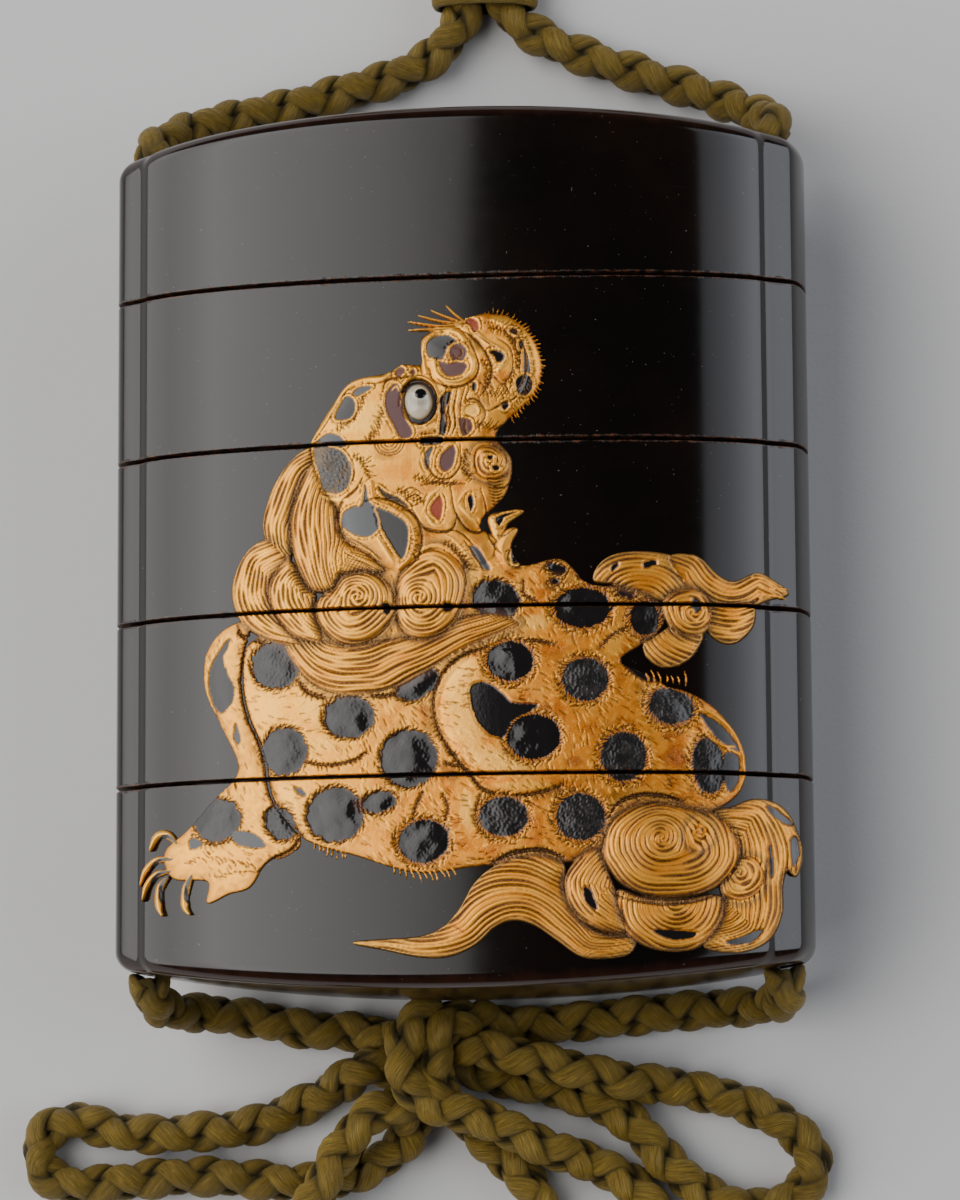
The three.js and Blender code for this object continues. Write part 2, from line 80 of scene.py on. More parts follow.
# materials: maths on sockets, and one way to add a node
class Socket:
    def __init__(self, look, link):
        self.look, self.link = look, link

    def maths(self, operation, *values):
        return self.look.node("Math", {"operation": operation}, dict(enumerate(values)))

    def __add__(self, other):
        return self.maths("ADD", self, other)

    def __sub__(self, other):
        return self.maths("SUBTRACT", self, other)

    def __rsub__(self, other):
        return self.maths("SUBTRACT", other, self)

    def __mul__(self, other):
        return self.maths("MULTIPLY", self, other)

    def __truediv__(self, other):
        return self.maths("DIVIDE", self, other)

    def __abs__(self):
        return self.maths("ABSOLUTE", self)

    __radd__, __rmul__ = __add__, __mul__

    def root(self):
        return self.maths("SQRT", self)

    def lower(self, other):
        return self.maths("MINIMUM", self, other)

    def higher(self, other):
        return self.maths("MAXIMUM", self, other)

    def between(self, low, high, fromLow=0.0, toHigh=1.0):
        settings = {"interpolation_type": "SMOOTHSTEP"}
        return self.look.node("MapRange", settings, {0: self, 1: low, 2: high, 3: fromLow, 4: toHigh})


class Look:
    def __init__(self, name):
        self.material = bpy.data.materials.new(name)
        self.material.use_nodes = True
        self.tree = self.material.node_tree
        self.tree.nodes.clear()

    def plug(self, socket, value):
        if isinstance(value, Socket):
            self.tree.links.new(value.link, socket)
        else:
            socket.default_value = value

    def node(self, kind, settings=None, values=None, output=0):
        made = self.tree.nodes.new("ShaderNode" + kind)
        for name, value in (settings or {}).items():
            if name == "stops":
                while len(made.color_ramp.elements) < len(value):
                    made.color_ramp.elements.new(0.5)
                for stop, (place, colour) in zip(made.color_ramp.elements, value):
                    stop.position, stop.color = place, (*colour, 1)
            else:
                setattr(made, name, value)
        for name, value in (values or {}).items():
            self.plug(made.inputs[name], value)
        return Socket(self, made.outputs[output])

    def place(self):
        return self.node("TexCoord", output="Object")

    def axes(self, vector):
        return [self.node("SeparateXYZ", values={0: vector}, output=i) for i in range(3)]

    def stretch(self, vector, scale, turn=(0, 0, 0)):
        return self.node("Mapping", values={"Vector": vector, "Scale": scale, "Rotation": turn})

    def noise(self, vector, scale, detail=3, rough=0.55):
        values = {"Vector": vector, "Scale": scale, "Detail": detail, "Roughness": rough}
        return self.node("TexNoise", values=values)

    def named(self, name, output="Fac"):
        return self.node("Attribute", {"attribute_name": name}, output=output)

    def mix(self, factor, *colours):
        first, second = ((*c, 1) if isinstance(c, tuple) else c for c in colours)
        return self.node("Mix", {"data_type": "RGBA"}, {0: factor, 6: first, 7: second}, output=2)

    def bump(self, height, distance, strength=1.0, normal=None):
        values = {"Height": height, "Distance": distance, "Strength": strength}
        if normal is not None:
            values["Normal"] = normal
        return self.node("Bump", values=values)

    def finish(self, shader):
        end = self.tree.nodes.new("ShaderNodeOutputMaterial")
        self.tree.links.new(shader.link, end.inputs["Surface"])
        return self.material

    def shader(self, **values):
        plain = {name.replace("_", " "): value for name, value in values.items()}
        plain = {k: (*v, 1) if isinstance(v, tuple) and len(v) == 3 else v for k, v in plain.items()}
        return self.node("BsdfPrincipled", values=plain)

    def surface(self, **values):
        return self.finish(self.shader(**values))


def meshOf(shape, name):
    mesh = bpy.data.meshes.new(name)
    shape.to_mesh(mesh)
    shape.free()
    return mesh


def pointValues(mesh, name, kind, values):
    # one value of the named kind at each point of the mesh
    layer = mesh.attributes.new(name, kind, "POINT")
    socket = {"FLOAT": "value", "FLOAT_VECTOR": "vector", "FLOAT_COLOR": "color"}[kind]
    layer.data.foreach_set(socket, values.ravel())


def addPiece(name, mesh, look):
    piece = bpy.data.objects.new(name, mesh)
    bpy.context.scene.collection.objects.link(piece)
    mesh.materials.clear()
    mesh.materials.append(look)
    return piece


def assign(piece, slot, *nodes):
    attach(piece, "root")
    if nodes:
        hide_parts(*nodes)


def addFloor():
    look = Look("paperFloor")
    place = look.place()
    mottle = look.noise(place, 18, 4)
    grain = look.noise(place, 2600, 3)
    colour = look.mix(mottle.between(0.3, 0.7) * 0.12 + grain * 0.1, floor["colour"], floor["darker"])
    material = look.surface(Base_Color=colour, Roughness=floor["rough"],
                            Normal=look.bump(grain, floor["relief"] * mm, floor["grain"]))
    shape = bmesh.new()
    bmesh.ops.create_grid(shape, x_segments=2, y_segments=2, size=floor["size"] / 2)
    addPiece("floor", meshOf(shape, "floor"), material)


def addSoftboxes():
    for name, box in softboxes.items():
        look = Look(name)
        down = look.axes(look.node("TexCoord", output="UV"))[1]
        strongest = max(light for _, light in box["light"])
        stops = [(stop, tuple(light / strongest * c for c in box["tint"])) for stop, light in box["light"]]
        colour = look.node("ValToRGB", {"stops": stops}, {0: down})
        material = look.finish(look.node("Emission", values={"Color": colour, "Strength": strongest}))
        shape = bmesh.new()
        bmesh.ops.create_grid(shape, x_segments=1, y_segments=1, size=1, calc_uvs=True)
        uv = shape.loops.layers.uv.verify()
        for face in shape.faces:
            for loop in face.loops:
                loop[uv].uv = (loop.vert.co.x / 2 + 0.5, loop.vert.co.y / 2 + 0.5)
        (x0, z0), (x1, z1) = box["upper"], box["lower"]
        near, far = box["reach"]
        for vert in shape.verts:
            across, drop = vert.co.x / 2 + 0.5, vert.co.y / 2 + 0.5
            vert.co = (x0 + (x1 - x0) * drop, near + (far - near) * across, z0 + (z1 - z0) * drop)
        panel = addPiece(name, meshOf(shape, name), material)
        panel.visible_camera = False


def addRoomLight():
    world = bpy.data.worlds.new("room")
    world.use_nodes = True
    backdrop = world.node_tree.nodes["Background"]
    backdrop.inputs["Color"].default_value = (*roomLight["colour"], 1)
    backdrop.inputs["Strength"].default_value = roomLight["strength"]
    bpy.context.scene.world = world


addCamera()
addFloor()
addSoftboxes()
addRoomLight()
print("camera, floor and light")


# silk cord: four strands braided round each other
braid = {
    "diameter": 3.4, "pitch": 9.4, "middle": 0.76, "lift": 0.32, "radial": 0.74, "tangent": 1.06,
    "strands": 4, "swell": 0.12, "step": 0.36, "sides": 12, "low": 1.8, "high": 5.6,
    "floorGap": 0.03, "pathSteps": 220,
}
low, high = braid["low"], braid["high"]

# routes in millimetres, end to end
upperLeft = [ (-27.4, 36.1, 11.3), (-27.4, 37.1, 11.15), (-26.9, 38.5, 8.8), (-24.8, 40.3, 5.8),
             (-21.4, 41.6, 3.8), (-16.6, 42.9, 2.2), (-11.2, 44.3, low), (-6.6, 45.6, low),
             (-3.7, 47.2, low), (-1.9, 49.2, low), (-0.9, 51.3, low)]
upperRight = [ (27.4, 36.1, 11.3), (27.4, 37.1, 11.15), (26.9, 38.4, 8.4), (24.6, 40.3, 4.9),
              (19.8, 42.8, 2.6), (15, 44.7, low), (10.6, 46.3, low), (7, 47.9, low), (4.3, 49.6, low),
              (2.9, 51.3, low)]
toCoil = [ (-1, 53.4, low), (-1.3, 56.2, low)]
fromCoil = [ (3.4, 56.6, 2.2), (3, 53.6, low)]
# the turns of the coil, in degrees: its start, length and step, where it moves in and out again,
# and where the way out climbs over the outer turn
coil = {"x": 1, "y": 81.8, "outer": 22.2, "inner": 18.7, "hump": 5.3, "start": -108, "turns": 700,
        "step": 13, "moveIn": 270, "moveOut": 628, "ease": 60, "climb": 655, "climbHalf": 42}

lowerLeft = [ (-27.4, -36, 11.3), (-27.4, -37, 11.15), (-27, -38.1, 7.8), (-25.8, -38.3, 4.8),
             (-23.6, -38.5, 2.8), (-20, -38.9, low), (-14.8, -40, low), (-11.5, -40.1, low),
             (-8.6, -40.6, 2.6)]
throughKnotRight = [ (-5.4, -41.6, 4.6), (-1.9, -41.7, 5.4)]
loopRight = [ (1.2, -42, high), (7.2, -43.4, high), (12.2, -44.6, 4.4), (17.4, -45.3, low),
             (22.6, -46.6, low), (26.9, -48.8, low), (28.9, -51.7, low), (27.4, -54.6, low),
             (23.8, -55.7, low), (19.9, -54.6, low), (16.2, -51.6, low), (13.2, -48.3, low),
             (9.4, -46.2, low), (4.4, -44.8, low)]
frontWrap = [ (0.4, -44, 2), (-1.6, -42.2, 2.2), (-1.9, -39.7, 3.6), (-3.4, -38.9, 6.2), (-5, -39.9, 8),
             (-5.8, -42.3, 8.4), (-5.4, -44.8, 7.7), (-3.6, -46.6, 6.4), (-1, -47.4, 5.9)]
lowerLoop = [ (1.8, -48.3, 5.2), (5.6, -50.2, 4.4), (9.6, -51.7, low), (13.2, -53.6, low),
             (15.4, -56.6, low), (15.4, -60, low), (12.9, -62.6, low), (9.4, -62.6, low), (6.8, -60, low),
             (5.6, -56.4, low), (4, -53.2, low), (0.6, -49.9, low), (-1.9, -46.8, low)]

lowerRight = [ (27.4, -36, 11.3), (27.4, -37, 11.15), (27, -38.1, 7.8), (25.8, -38.2, 4.8),
              (23.6, -38.4, 2.8), (19, -38.6, low), (14, -39, low), (8.4, -39.5, low), (3.4, -39.8, low)]
secondWrap = [ (0.6, -39.4, 3.6), (-1.2, -39.4, 6), (-2.7, -40.6, 7.5), (-3.4, -42.8, 7.5),
              (-3, -44.9, 6.4), (-3.2, -46, 4.2), (-4.9, -45.6, 2.6), (-6.6, -44, 2.6)]
loopLeft = [ (-9.4, -43.2, 4.4), (-12.4, -44.9, 3), (-16.2, -46.7, low), (-20.6, -48.3, low),
            (-25, -48.7, low), (-29.4, -48.9, low), (-33.2, -48.4, low), (-36.2, -47.6, low),
            (-38.6, -48.6, low), (-39.3, -50.8, low), (-38, -52.8, low), (-34.8, -53.3, low),
            (-30.4, -52.9, low), (-25.8, -52.6, low), (-21.3, -52.8, low), (-16.9, -53.2, low),
            (-12.4, -52.9, low), (-8.2, -50.9, low), (-5.9, -48.6, 2.6), (-6.1, -46.8, 4.6)]
tail = [ (-8.6, -47.2, 5.8), (-11.3, -50, high), (-13.3, -53.4, 6), (-15.4, -57.4, 3.8),
        (-16.6, -61.2, low), (-17.2, -64, 2.4)]


def smooth(values, low, high):
    t = np.clip((values - low) / (high - low), 0, 1)
    return t * t * (3 - 2 * t)


def runOf(line):
    # how far along the line each of its points lies
    return np.concatenate([[0], np.cumsum(np.linalg.norm(np.diff(line, axis=0), axis=1))])


def smoothPath(points, step):
    # centripetal Catmull-Rom through the points, then even steps
    knots = np.array(points, float)
    ends = np.vstack([2 * knots[0] - knots[1], knots, 2 * knots[-1] - knots[-2]])
    found = []
    for p0, p1, p2, p3 in zip(ends, ends[1:], ends[2:], ends[3:]):
        t1 = np.linalg.norm(p1 - p0) ** 0.5
        t2 = t1 + np.linalg.norm(p2 - p1) ** 0.5
        t3 = t2 + np.linalg.norm(p3 - p2) ** 0.5
        t = np.linspace(t1, t2, 25)[:-1, None]
        a1 = ((t1 - t) * p0 + t * p1) / t1
        a2 = ((t2 - t) * p1 + (t - t1) * p2) / (t2 - t1)
        a3 = ((t3 - t) * p2 + (t - t2) * p3) / (t3 - t2)
        b1 = ((t2 - t) * a1 + t * a2) / t2
        b2 = ((t3 - t) * a2 + (t - t1) * a3) / (t3 - t1)
        found.append(((t2 - t) * b1 + (t - t1) * b2) / (t2 - t1))
    line = np.vstack(found + [knots[-1:]])
    along = runOf(line)
    count = max(8, round(along[-1] / step))
    even = np.linspace(0, along[-1], count + 1)
    return np.stack([np.interp(even, along, line[:, i]) for i in range(3)], axis=1), along[-1]


def coilRoute():
    # two turns lying side by side; the way out climbs over the outer one
    found = []
    spread = coil["outer"] - coil["inner"]
    for turned in range(0, coil["turns"], coil["step"]):
        inward = smooth(turned, coil["moveIn"], coil["moveIn"] + coil["ease"])
        outward = smooth(turned, coil["moveOut"], coil["moveOut"] + coil["ease"])
        reach = coil["outer"] - spread * inward + spread * outward * 1.1
        angle = math.radians(coil["start"] - turned)
        climb = smooth(1 - abs(turned - coil["climb"]) / coil["climbHalf"], 0, 1)
        found.append((coil["x"] + reach * math.cos(angle), coil["y"] + reach * math.sin(angle),
                      low + (coil["hump"] - low) * climb))
    return found


def frames(line):
    # a normal and a side for each step of the line, turned as little as possible
    forward = np.gradient(line, axis=0)
    forward /= np.linalg.norm(forward, axis=1, keepdims=True)
    up = np.array([0.0, 0.0, 1.0]) if abs(forward[0, 2]) < 0.9 else np.array([0.0, 1.0, 0.0])
    ups = []
    for ahead in forward:
        up = up - ahead * (up @ ahead)
        up = up / np.linalg.norm(up)
        ups.append(up)
    return np.array(ups), np.cross(forward, ups)


def around(line, centre):
    # for a loop round a centre: the way out and the way across
    ahead = np.gradient(line, axis=0)
    out = line - centre
    out -= ahead * (np.sum(out * ahead, axis=1) / np.sum(ahead * ahead, axis=1))[:, None]
    out /= np.linalg.norm(out, axis=1, keepdims=True)
    return out, np.cross(ahead, out) / np.linalg.norm(ahead, axis=1, keepdims=True)


def tubes(name, lines, sides, look):
    # each line: places, normals, side vectors, the two half widths of its section and how deep it lies
    mesh = bpy.data.meshes.new(name)
    verts, faces, strand, turns, along, under = [], [], [], [], [], []
    start = 0
    for number, (line, normals, across, tall, wide, deep) in enumerate(lines):
        count = len(line)
        turn = np.arange(sides) * 2 * math.pi / sides
        upward = normals[:, None] * (np.cos(turn)[None, :, None] * tall[:, None, None])
        sideways = across[:, None] * (np.sin(turn)[None, :, None] * wide[:, None, None])
        places = (line[:, None] + (upward + sideways)).reshape(-1, 3)
        places[:, 2] = np.maximum(places[:, 2], braid["floorGap"])  # soft silk lies flat on the floor
        verts.append(places)
        rows = start + np.arange(count - 1)[:, None] * sides
        here, beside = np.arange(sides)[None], (np.arange(sides) + 1)[None] % sides
        faces += np.stack([rows + here, rows + beside, rows + sides + beside, rows + sides + here],
                          axis=-1).reshape(-1, 4).tolist()
        faces.append(list(range(start + sides - 1, start - 1, -1)))
        faces.append(list(range(start + (count - 1) * sides, start + count * sides)))
        strand.append(np.full(count * sides, number, float))
        turns.append(np.tile(turn, count))
        along.append(np.repeat(runOf(line), sides))
        under.append(np.repeat(deep, sides))
        start += count * sides
    mesh.from_pydata((np.vstack(verts) * mm).tolist(), [], faces)
    turn = np.concatenate(turns)
    fibre = np.stack([np.cos(turn), np.sin(turn), np.concatenate(along)], axis=1)
    pointValues(mesh, "fibre", "FLOAT_VECTOR", fibre)
    pointValues(mesh, "strand", "FLOAT", np.concatenate(strand))
    pointValues(mesh, "under", "FLOAT", np.concatenate(under))
    mesh.shade_smooth()
    return addPiece(name, mesh, look)


def braidedCord(name, points, look):
    line, length = smoothPath(points, braid["step"])
    wound = 2 * math.pi * np.linspace(0, length, len(line)) / braid["pitch"]
    up, side = frames(line)
    strands = []
    for k in range(braid["strands"]):
        way = 1 if k < braid["strands"] / 2 else -1
        angle = way * wound + math.pi * (k % 2) + math.pi / 4
        lift = way * np.cos(2 * wound)  # two pairs wound opposite ways, each over the other in turn
        reach = braid["middle"] + braid["lift"] * lift
        out = up * np.cos(angle)[:, None] + side * np.sin(angle)[:, None]
        centre = line + out * reach[:, None]
        ahead = np.gradient(centre, axis=0)
        ahead /= np.linalg.norm(ahead, axis=1, keepdims=True)
        out = out - ahead * np.sum(out * ahead, axis=1, keepdims=True)
        out /= np.linalg.norm(out, axis=1, keepdims=True)
        swell = 1 + braid["swell"] * lift
        strands.append((centre, out, np.cross(ahead, out), braid["radial"] * swell,
                        braid["tangent"] * swell, 0.5 - 0.5 * lift))
    return tubes(name, strands, braid["sides"], look), line, length


silk = {
    "deep": (0.022, 0.012, 0.001), "plain": (0.21, 0.128, 0.013), "bright": (0.52, 0.35, 0.06),
    "patchy": (0.085, 0.05, 0.005), "lighterAtKnot": (0.42, 0.27, 0.045), "darkerAtLoop": (0.03, 0.018, 0.002),
    "inner": (0.006, 0.0035, 0.0005), "under": (0.012, 0.007, 0.001),
    "sheen": (0.95, 0.78, 0.35), "gleam": (1.0, 0.82, 0.42), "knotY": -61.5, "relief": 0.26,
}


def silkLook():
    look = Look("silkBraid")
    x, y, run = look.axes(look.named("fibre", "Vector"))
    spun = look.node("CombineXYZ", values={0: x * 3.2 + look.named("strand") * 7.3, 1: y * 3.2,
                                           2: run * 0.13})
    thread = look.noise(spun, 4.6, 4, 0.75)
    fine = look.noise(look.stretch(spun, (2.6, 2.6, 1.2)), 6.5, 3)
    patch = look.noise(look.place(), 160, 3)
    colour = look.mix(thread.between(0.3, 0.66), silk["deep"], silk["plain"])
    colour = look.mix(fine.between(0.5, 0.64) * 0.7, colour, silk["bright"])
    colour = look.mix(patch.between(0.35, 0.75) * 0.4, colour, silk["patchy"])
    # the silk is lighter round the knot and darker at the left loop
    across, up, _ = look.axes(look.place())
    fromKnot = across * across + (up - silk["knotY"] * mm) * (up - silk["knotY"] * mm)
    lighterAtKnot = fromKnot.between(0.0006, 0.00014) * thread.between(0.4, 0.62)
    colour = look.mix(lighterAtKnot * 0.42, colour, silk["lighterAtKnot"])
    atLoop = up.between(-50 * mm, -57 * mm) * across.between(-14 * mm, -26 * mm)
    colour = look.mix(atLoop * 0.38, colour, silk["darkerAtLoop"])
    # painted shade: the inner sides of the strands, where they press together, are darkened
    colour = look.mix(x.between(-0.35, 0.6), silk["inner"], colour)
    # painted shade: a strand is darkened where it passes under the others
    colour = look.mix(look.named("under").between(0.3, 0.95) * 0.75, colour, silk["under"])
    return look.surface(Base_Color=colour, Roughness=thread.between(0.2, 0.8, 0.32, 0.5),
                        Normal=look.bump(thread * 0.7 + fine * 0.6, silk["relief"] * mm),
                        Sheen_Weight=0.1, Sheen_Roughness=0.4, Sheen_Tint=silk["sheen"],
                        Specular_IOR_Level=0.55, Specular_Tint=silk["gleam"])


def wrap(line, centre, tall, wide):
    # one turn of a thin strand round a centre, as tubes() takes it
    out, side = around(line, centre)
    count = len(line)
    return line, out, side, np.full(count, tall), np.full(count, wide), np.zeros(count)


binding = {"turns": 3, "x": 1, "y": 51.8, "z": 2.35, "gap": 1.75, "halfWidth": 4.4, "halfDepth": 1.95,
           "slant": 0.25, "tall": 0.42, "wide": 0.85}
# the knob's wraps: how far each leans over, its radius and its thickness
knob = {"centre": (-17.4, -64.8, 2.9), "flat": 0.9,
        "wraps": ((0.2, 1.75, 1.05), (1.25, 1.7, 1.05), (2.3, 1.75, 1.05), (1.57, 1.0, 1.2))}


def addBinding(look):
    # a short binding holds the two ends of the coil together
    angle = np.linspace(0, 2 * math.pi, 61)
    x = binding["x"] + binding["halfWidth"] * np.cos(angle)
    z = binding["z"] + np.sign(np.sin(angle)) * np.abs(np.sin(angle)) ** 0.8 * binding["halfDepth"]
    lines = []
    for turn in range(binding["turns"]):
        y = binding["y"] + turn * binding["gap"] + binding["slant"] * np.sin(angle * 0.5)
        line = np.stack([x, y, z], axis=1)
        lines.append(wrap(line, line.mean(axis=0), binding["tall"], binding["wide"]))
    return tubes("coilBinding", lines, 10, look)


def addKnob(look):
    # the knob that ends the short tail: a few wraps of the same silk
    centre = np.array(knob["centre"])
    angle = np.linspace(0, 2 * math.pi, 49)
    lines = []
    for tilt, reach, thick in knob["wraps"]:
        ring = np.stack([np.cos(angle) * reach, np.sin(angle) * reach * math.cos(tilt),
                         np.sin(angle) * reach * math.sin(tilt)], axis=1) + centre
        lines.append(wrap(ring, centre, thick * knob["flat"], thick))
    return tubes("endKnob", lines, 12, look)


def addCords():
    look = silkLook()
    tie, end = addBinding(look), addKnob(look)
    assign(tie, "silk", "cord_tie")
    assign(end, "silk", "cord_end_knot")
    upper = upperLeft + toCoil + coilRoute() + fromCoil + upperRight[::-1]
    lowerFromLeft = lowerLeft + throughKnotRight + loopRight + frontWrap + lowerLoop
    lowerFromRight = lowerRight + secondWrap + loopLeft + tail
    for name, route, farEnd, lay, nodes, others in (
            ("upperCord", upper, "object", "coiled",
             ("cord_upper_left", "cord_upper_right", "cord_coil"), [tie]),
            ("lowerCordLeft", lowerFromLeft, "knot", "loose",
             ("cord_lower_left", "bow_loop_right", "bow_lower_loop", "bow_knot"), []),
            ("lowerCordRight", lowerFromRight, "knot", "loose",
             ("cord_lower_right", "bow_loop_left", "bow_tail"), [end])):
        piece, line, length = braidedCord(name, route, look)
        assign(piece, "silk", *nodes)
        path = line[:: max(1, len(line) // braid["pathSteps"])] * mm
        [v * mm for v in route[0]]
        print(name, round(length, 1))
    for node in ("cord_side_left", "cord_side_right"):
        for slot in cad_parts[node].material_slots:
            slot.material = look


addCords()
print("cords")


# lacquered case
inro = {
    "halfWidth": 30, "halfDepth": 11.5, "bulge": 2.34, "halfLength": 37.5, "restCut": 0.06,
    "edgeRadius": 1.5, "endArch": 2.4, "endDome": 0.3, "arc": 1.25,
    "strip": {"inner": 26.4, "outer": 27.2, "drop": 0.22, "edge": 29.0, "fall": 1.25, "round": 0.9},
    "lidLength": 15, "caseLength": 14.1, "seam": 0.3, "seamRound": 0.14,
    "riserHeight": 5, "riserRoom": 5.5, "wall": 1.9, "riserWall": 1.1, "fit": 0.3, "land": 0.06,
    "floor": 1.4, "end": 2.4, "cavityHalfWidth": 25, "cavityBulge": 2.9,
    "channel": {"x": 27.4, "radius": 1.65}, "sharpAngle": 38,
}
tiers = ("lid", "case_1", "case_2", "case_3", "case_4")
midZ = inro["halfDepth"] - inro["restCut"]
seams = [inro["halfLength"] - inro["lidLength"] - i * inro["caseLength"] for i in range(4)]


def lensHeight(x, a=inro["halfWidth"], b=inro["halfDepth"], n=inro["bulge"]):
    return b * (1 - np.minimum(np.abs(x) / a, 1) ** n) ** (1 / n)


def outerSection():
    strip = inro["strip"]
    lens = strip["inner"] * np.sin(np.linspace(0, inro["arc"], 44)) / math.sin(inro["arc"])
    quarter = [(x, lensHeight(x)) for x in lens]
    for t in np.linspace(0, 1, 8)[1:]:
        x = strip["inner"] + (strip["outer"] - strip["inner"]) * t
        quarter.append((x, lensHeight(x) - strip["drop"] * t * t * (3 - 2 * t)))
    foot = quarter[-1][1]
    for t in np.linspace(0, 1, 8)[1:]:
        x = strip["outer"] + (strip["edge"] - strip["outer"]) * t
        quarter.append((x, foot - strip["fall"] * t * (0.88 + 0.12 * t)))
    (x0, z0), r, side = quarter[-1], strip["round"], inro["halfWidth"]
    for t in np.linspace(0, 1, 22)[1:]:  # round over to the side
        u = 1 - t
        x = u ** 3 * x0 + 3 * u * u * t * (x0 + r * 0.75) + 3 * u * t * t * side + t ** 3 * side
        z = u ** 3 * z0 + 3 * u * u * t * (z0 - r * 0.56) + 3 * u * t * t * (z0 * 0.5)
        quarter.append((x, z))
    q = np.array(quarter)
    back = q[::-1] * (1, -1)
    return np.vstack([q, back[1:], (q * (-1, -1))[1:], (back * (-1, -1))[1:-1]])


section = outerSection()


def outerRing(inset, y, shrink=1.0):
    x = section[:, 0] * (1 - inset / inro["halfWidth"]) * shrink
    z = section[:, 1] * (1 - inset / inro["halfDepth"]) * shrink
    return np.stack([x, np.full(len(x), float(y)), np.maximum(z + midZ, 0)], axis=1)


def endRing(reach, side):
    # the swelling, arched end of the case, at a distance from its middle
    flat = inro["halfWidth"] - inro["edgeRadius"]
    if reach <= flat:
        y = inro["halfLength"] + inro["endDome"] * (1 - (reach / flat) ** 2)
        ring = outerRing(inro["edgeRadius"], y, reach / flat)
    else:
        out = min((reach - flat) / inro["edgeRadius"], 1)
        y = inro["halfLength"] - inro["edgeRadius"] * (1 - math.sqrt(1 - out * out))
        ring = outerRing(inro["edgeRadius"] * (1 - out), y)
    ring[:, 1] -= inro["endArch"] * (ring[:, 0] / inro["halfWidth"]) ** 2
    ring[:, 1] *= side
    return ring


def innerRing(a, b, y, shrink=1.0):
    n = inro["bulge"]
    c = np.sign(section[:, 0]) * (np.abs(section[:, 0]) / inro["halfWidth"]) ** (n / 2)
    s = np.sign(section[:, 1]) * (np.abs(section[:, 1]) / inro["halfDepth"]) ** (n / 2)
    t = np.arctan2(s, c)
    power = 2 / inro["cavityBulge"]
    x = a * np.sign(np.cos(t)) * np.abs(np.cos(t)) ** power * shrink
    z = b * np.sign(np.sin(t)) * np.abs(np.sin(t)) ** power * shrink
    return np.stack([x, np.full(len(x), float(y)), z + midZ], axis=1)


def loft(shape, rings):
    # a ring of edges, pulled out along the rings one after another
    order = shape.verts.layers.int.new("order")
    made = bmesh.ops.create_circle(shape, cap_ends=False, segments=len(rings[0]), radius=1)
    for i, vert in enumerate(made["verts"]):
        vert[order] = i
        vert.co = rings[0][i]
    first, verts, edges = made["verts"], made["verts"], list(shape.edges)
    for ring in rings[1:]:
        grown = bmesh.ops.extrude_edge_only(shape, edges=edges)["geom"]
        verts = [g for g in grown if isinstance(g, bmesh.types.BMVert)]
        new = set(verts)
        edges = [g for g in grown if isinstance(g, bmesh.types.BMEdge) and set(g.verts) <= new]
        for vert in verts:
            vert.co = ring[vert[order]]
    for end, ring in ((first, rings[0]), (verts, rings[-1])):
        bmesh.ops.pointmerge(shape, verts=end, merge_co=ring.mean(axis=0))


def tierRings(number):
    # from the middle of the ceiling or the bottom, over the outside, to the middle of the inside
    seamGap, r, land = inro["seam"] / 2, inro["seamRound"], inro["land"]
    a, b = inro["cavityHalfWidth"], inro["halfDepth"] - inro["wall"]
    isLid, isLast = number == 0, number == len(seams)
    top = None if isLid else seams[number - 1] - seamGap
    bottom = None if isLast else seams[number] + seamGap
    rounding = [(r * (1 - math.sin(t)), r * (1 - math.cos(t))) for t in np.linspace(0, math.pi / 2, 6)]
    ends = [0.02, 0.15, 0.35, 0.55, 0.75, 0.9, 0.97, 1]
    flat = inro["halfWidth"] - inro["edgeRadius"]
    reaches = [flat * e for e in ends] + [flat + inro["edgeRadius"] * math.sin(t)
                                          for t in np.linspace(0, math.pi / 2, 13)[1:]]
    rings = []
    if isLast:
        rings += [endRing(reach, -1) for reach in reaches]
        low = -inro["halfLength"] + inro["edgeRadius"] + inro["endArch"]
    else:
        ceiling = inro["halfLength"] - inro["end"] if isLid else bottom + inro["riserRoom"]
        rings += [innerRing(a, b, ceiling, s) for s in (0.02, 0.5, 0.97, 1)]
        rings += [innerRing(a, b, bottom + 0.15), innerRing(a + 0.12, b + 0.12, bottom)]
        rings += [outerRing(inset, bottom + rise) for inset, rise in rounding]
        low = bottom + r + land
        rings += [outerRing(0, low)]
    if isLid:
        rings += [outerRing(0, inro["halfLength"] - inro["edgeRadius"] - inro["endArch"] - 0.2)]
        rings += [endRing(reach, 1) for reach in reaches[::-1]]
        return rings
    high = top - r - land
    rings += [outerRing(0, low + (high - low) * s) for s in (0.35, 0.7)]
    rings += [outerRing(0, high)]
    rings += [outerRing(inset, top - rise) for inset, rise in rounding[::-1]]
    riser = top + inro["riserHeight"]
    ra, rb = a - inro["fit"], b - inro["fit"]
    ca, cb = ra - inro["riserWall"], rb - inro["riserWall"]
    base = -inro["halfLength"] + inro["end"] if isLast else bottom + inro["riserRoom"] + inro["floor"]
    rings += [innerRing(ra, rb, y) for y in (top, riser - 0.25)]
    rings += [innerRing(ra - 0.25, rb - 0.25, riser), innerRing(ca + 0.2, cb + 0.2, riser)]
    rings += [innerRing(ca, cb, riser - 0.2), innerRing(ca, cb, base + 0.3)]
    rings += [innerRing(ca - 0.3, cb - 0.3, base, s) for s in (1, 0.5, 0.02)]
    return rings


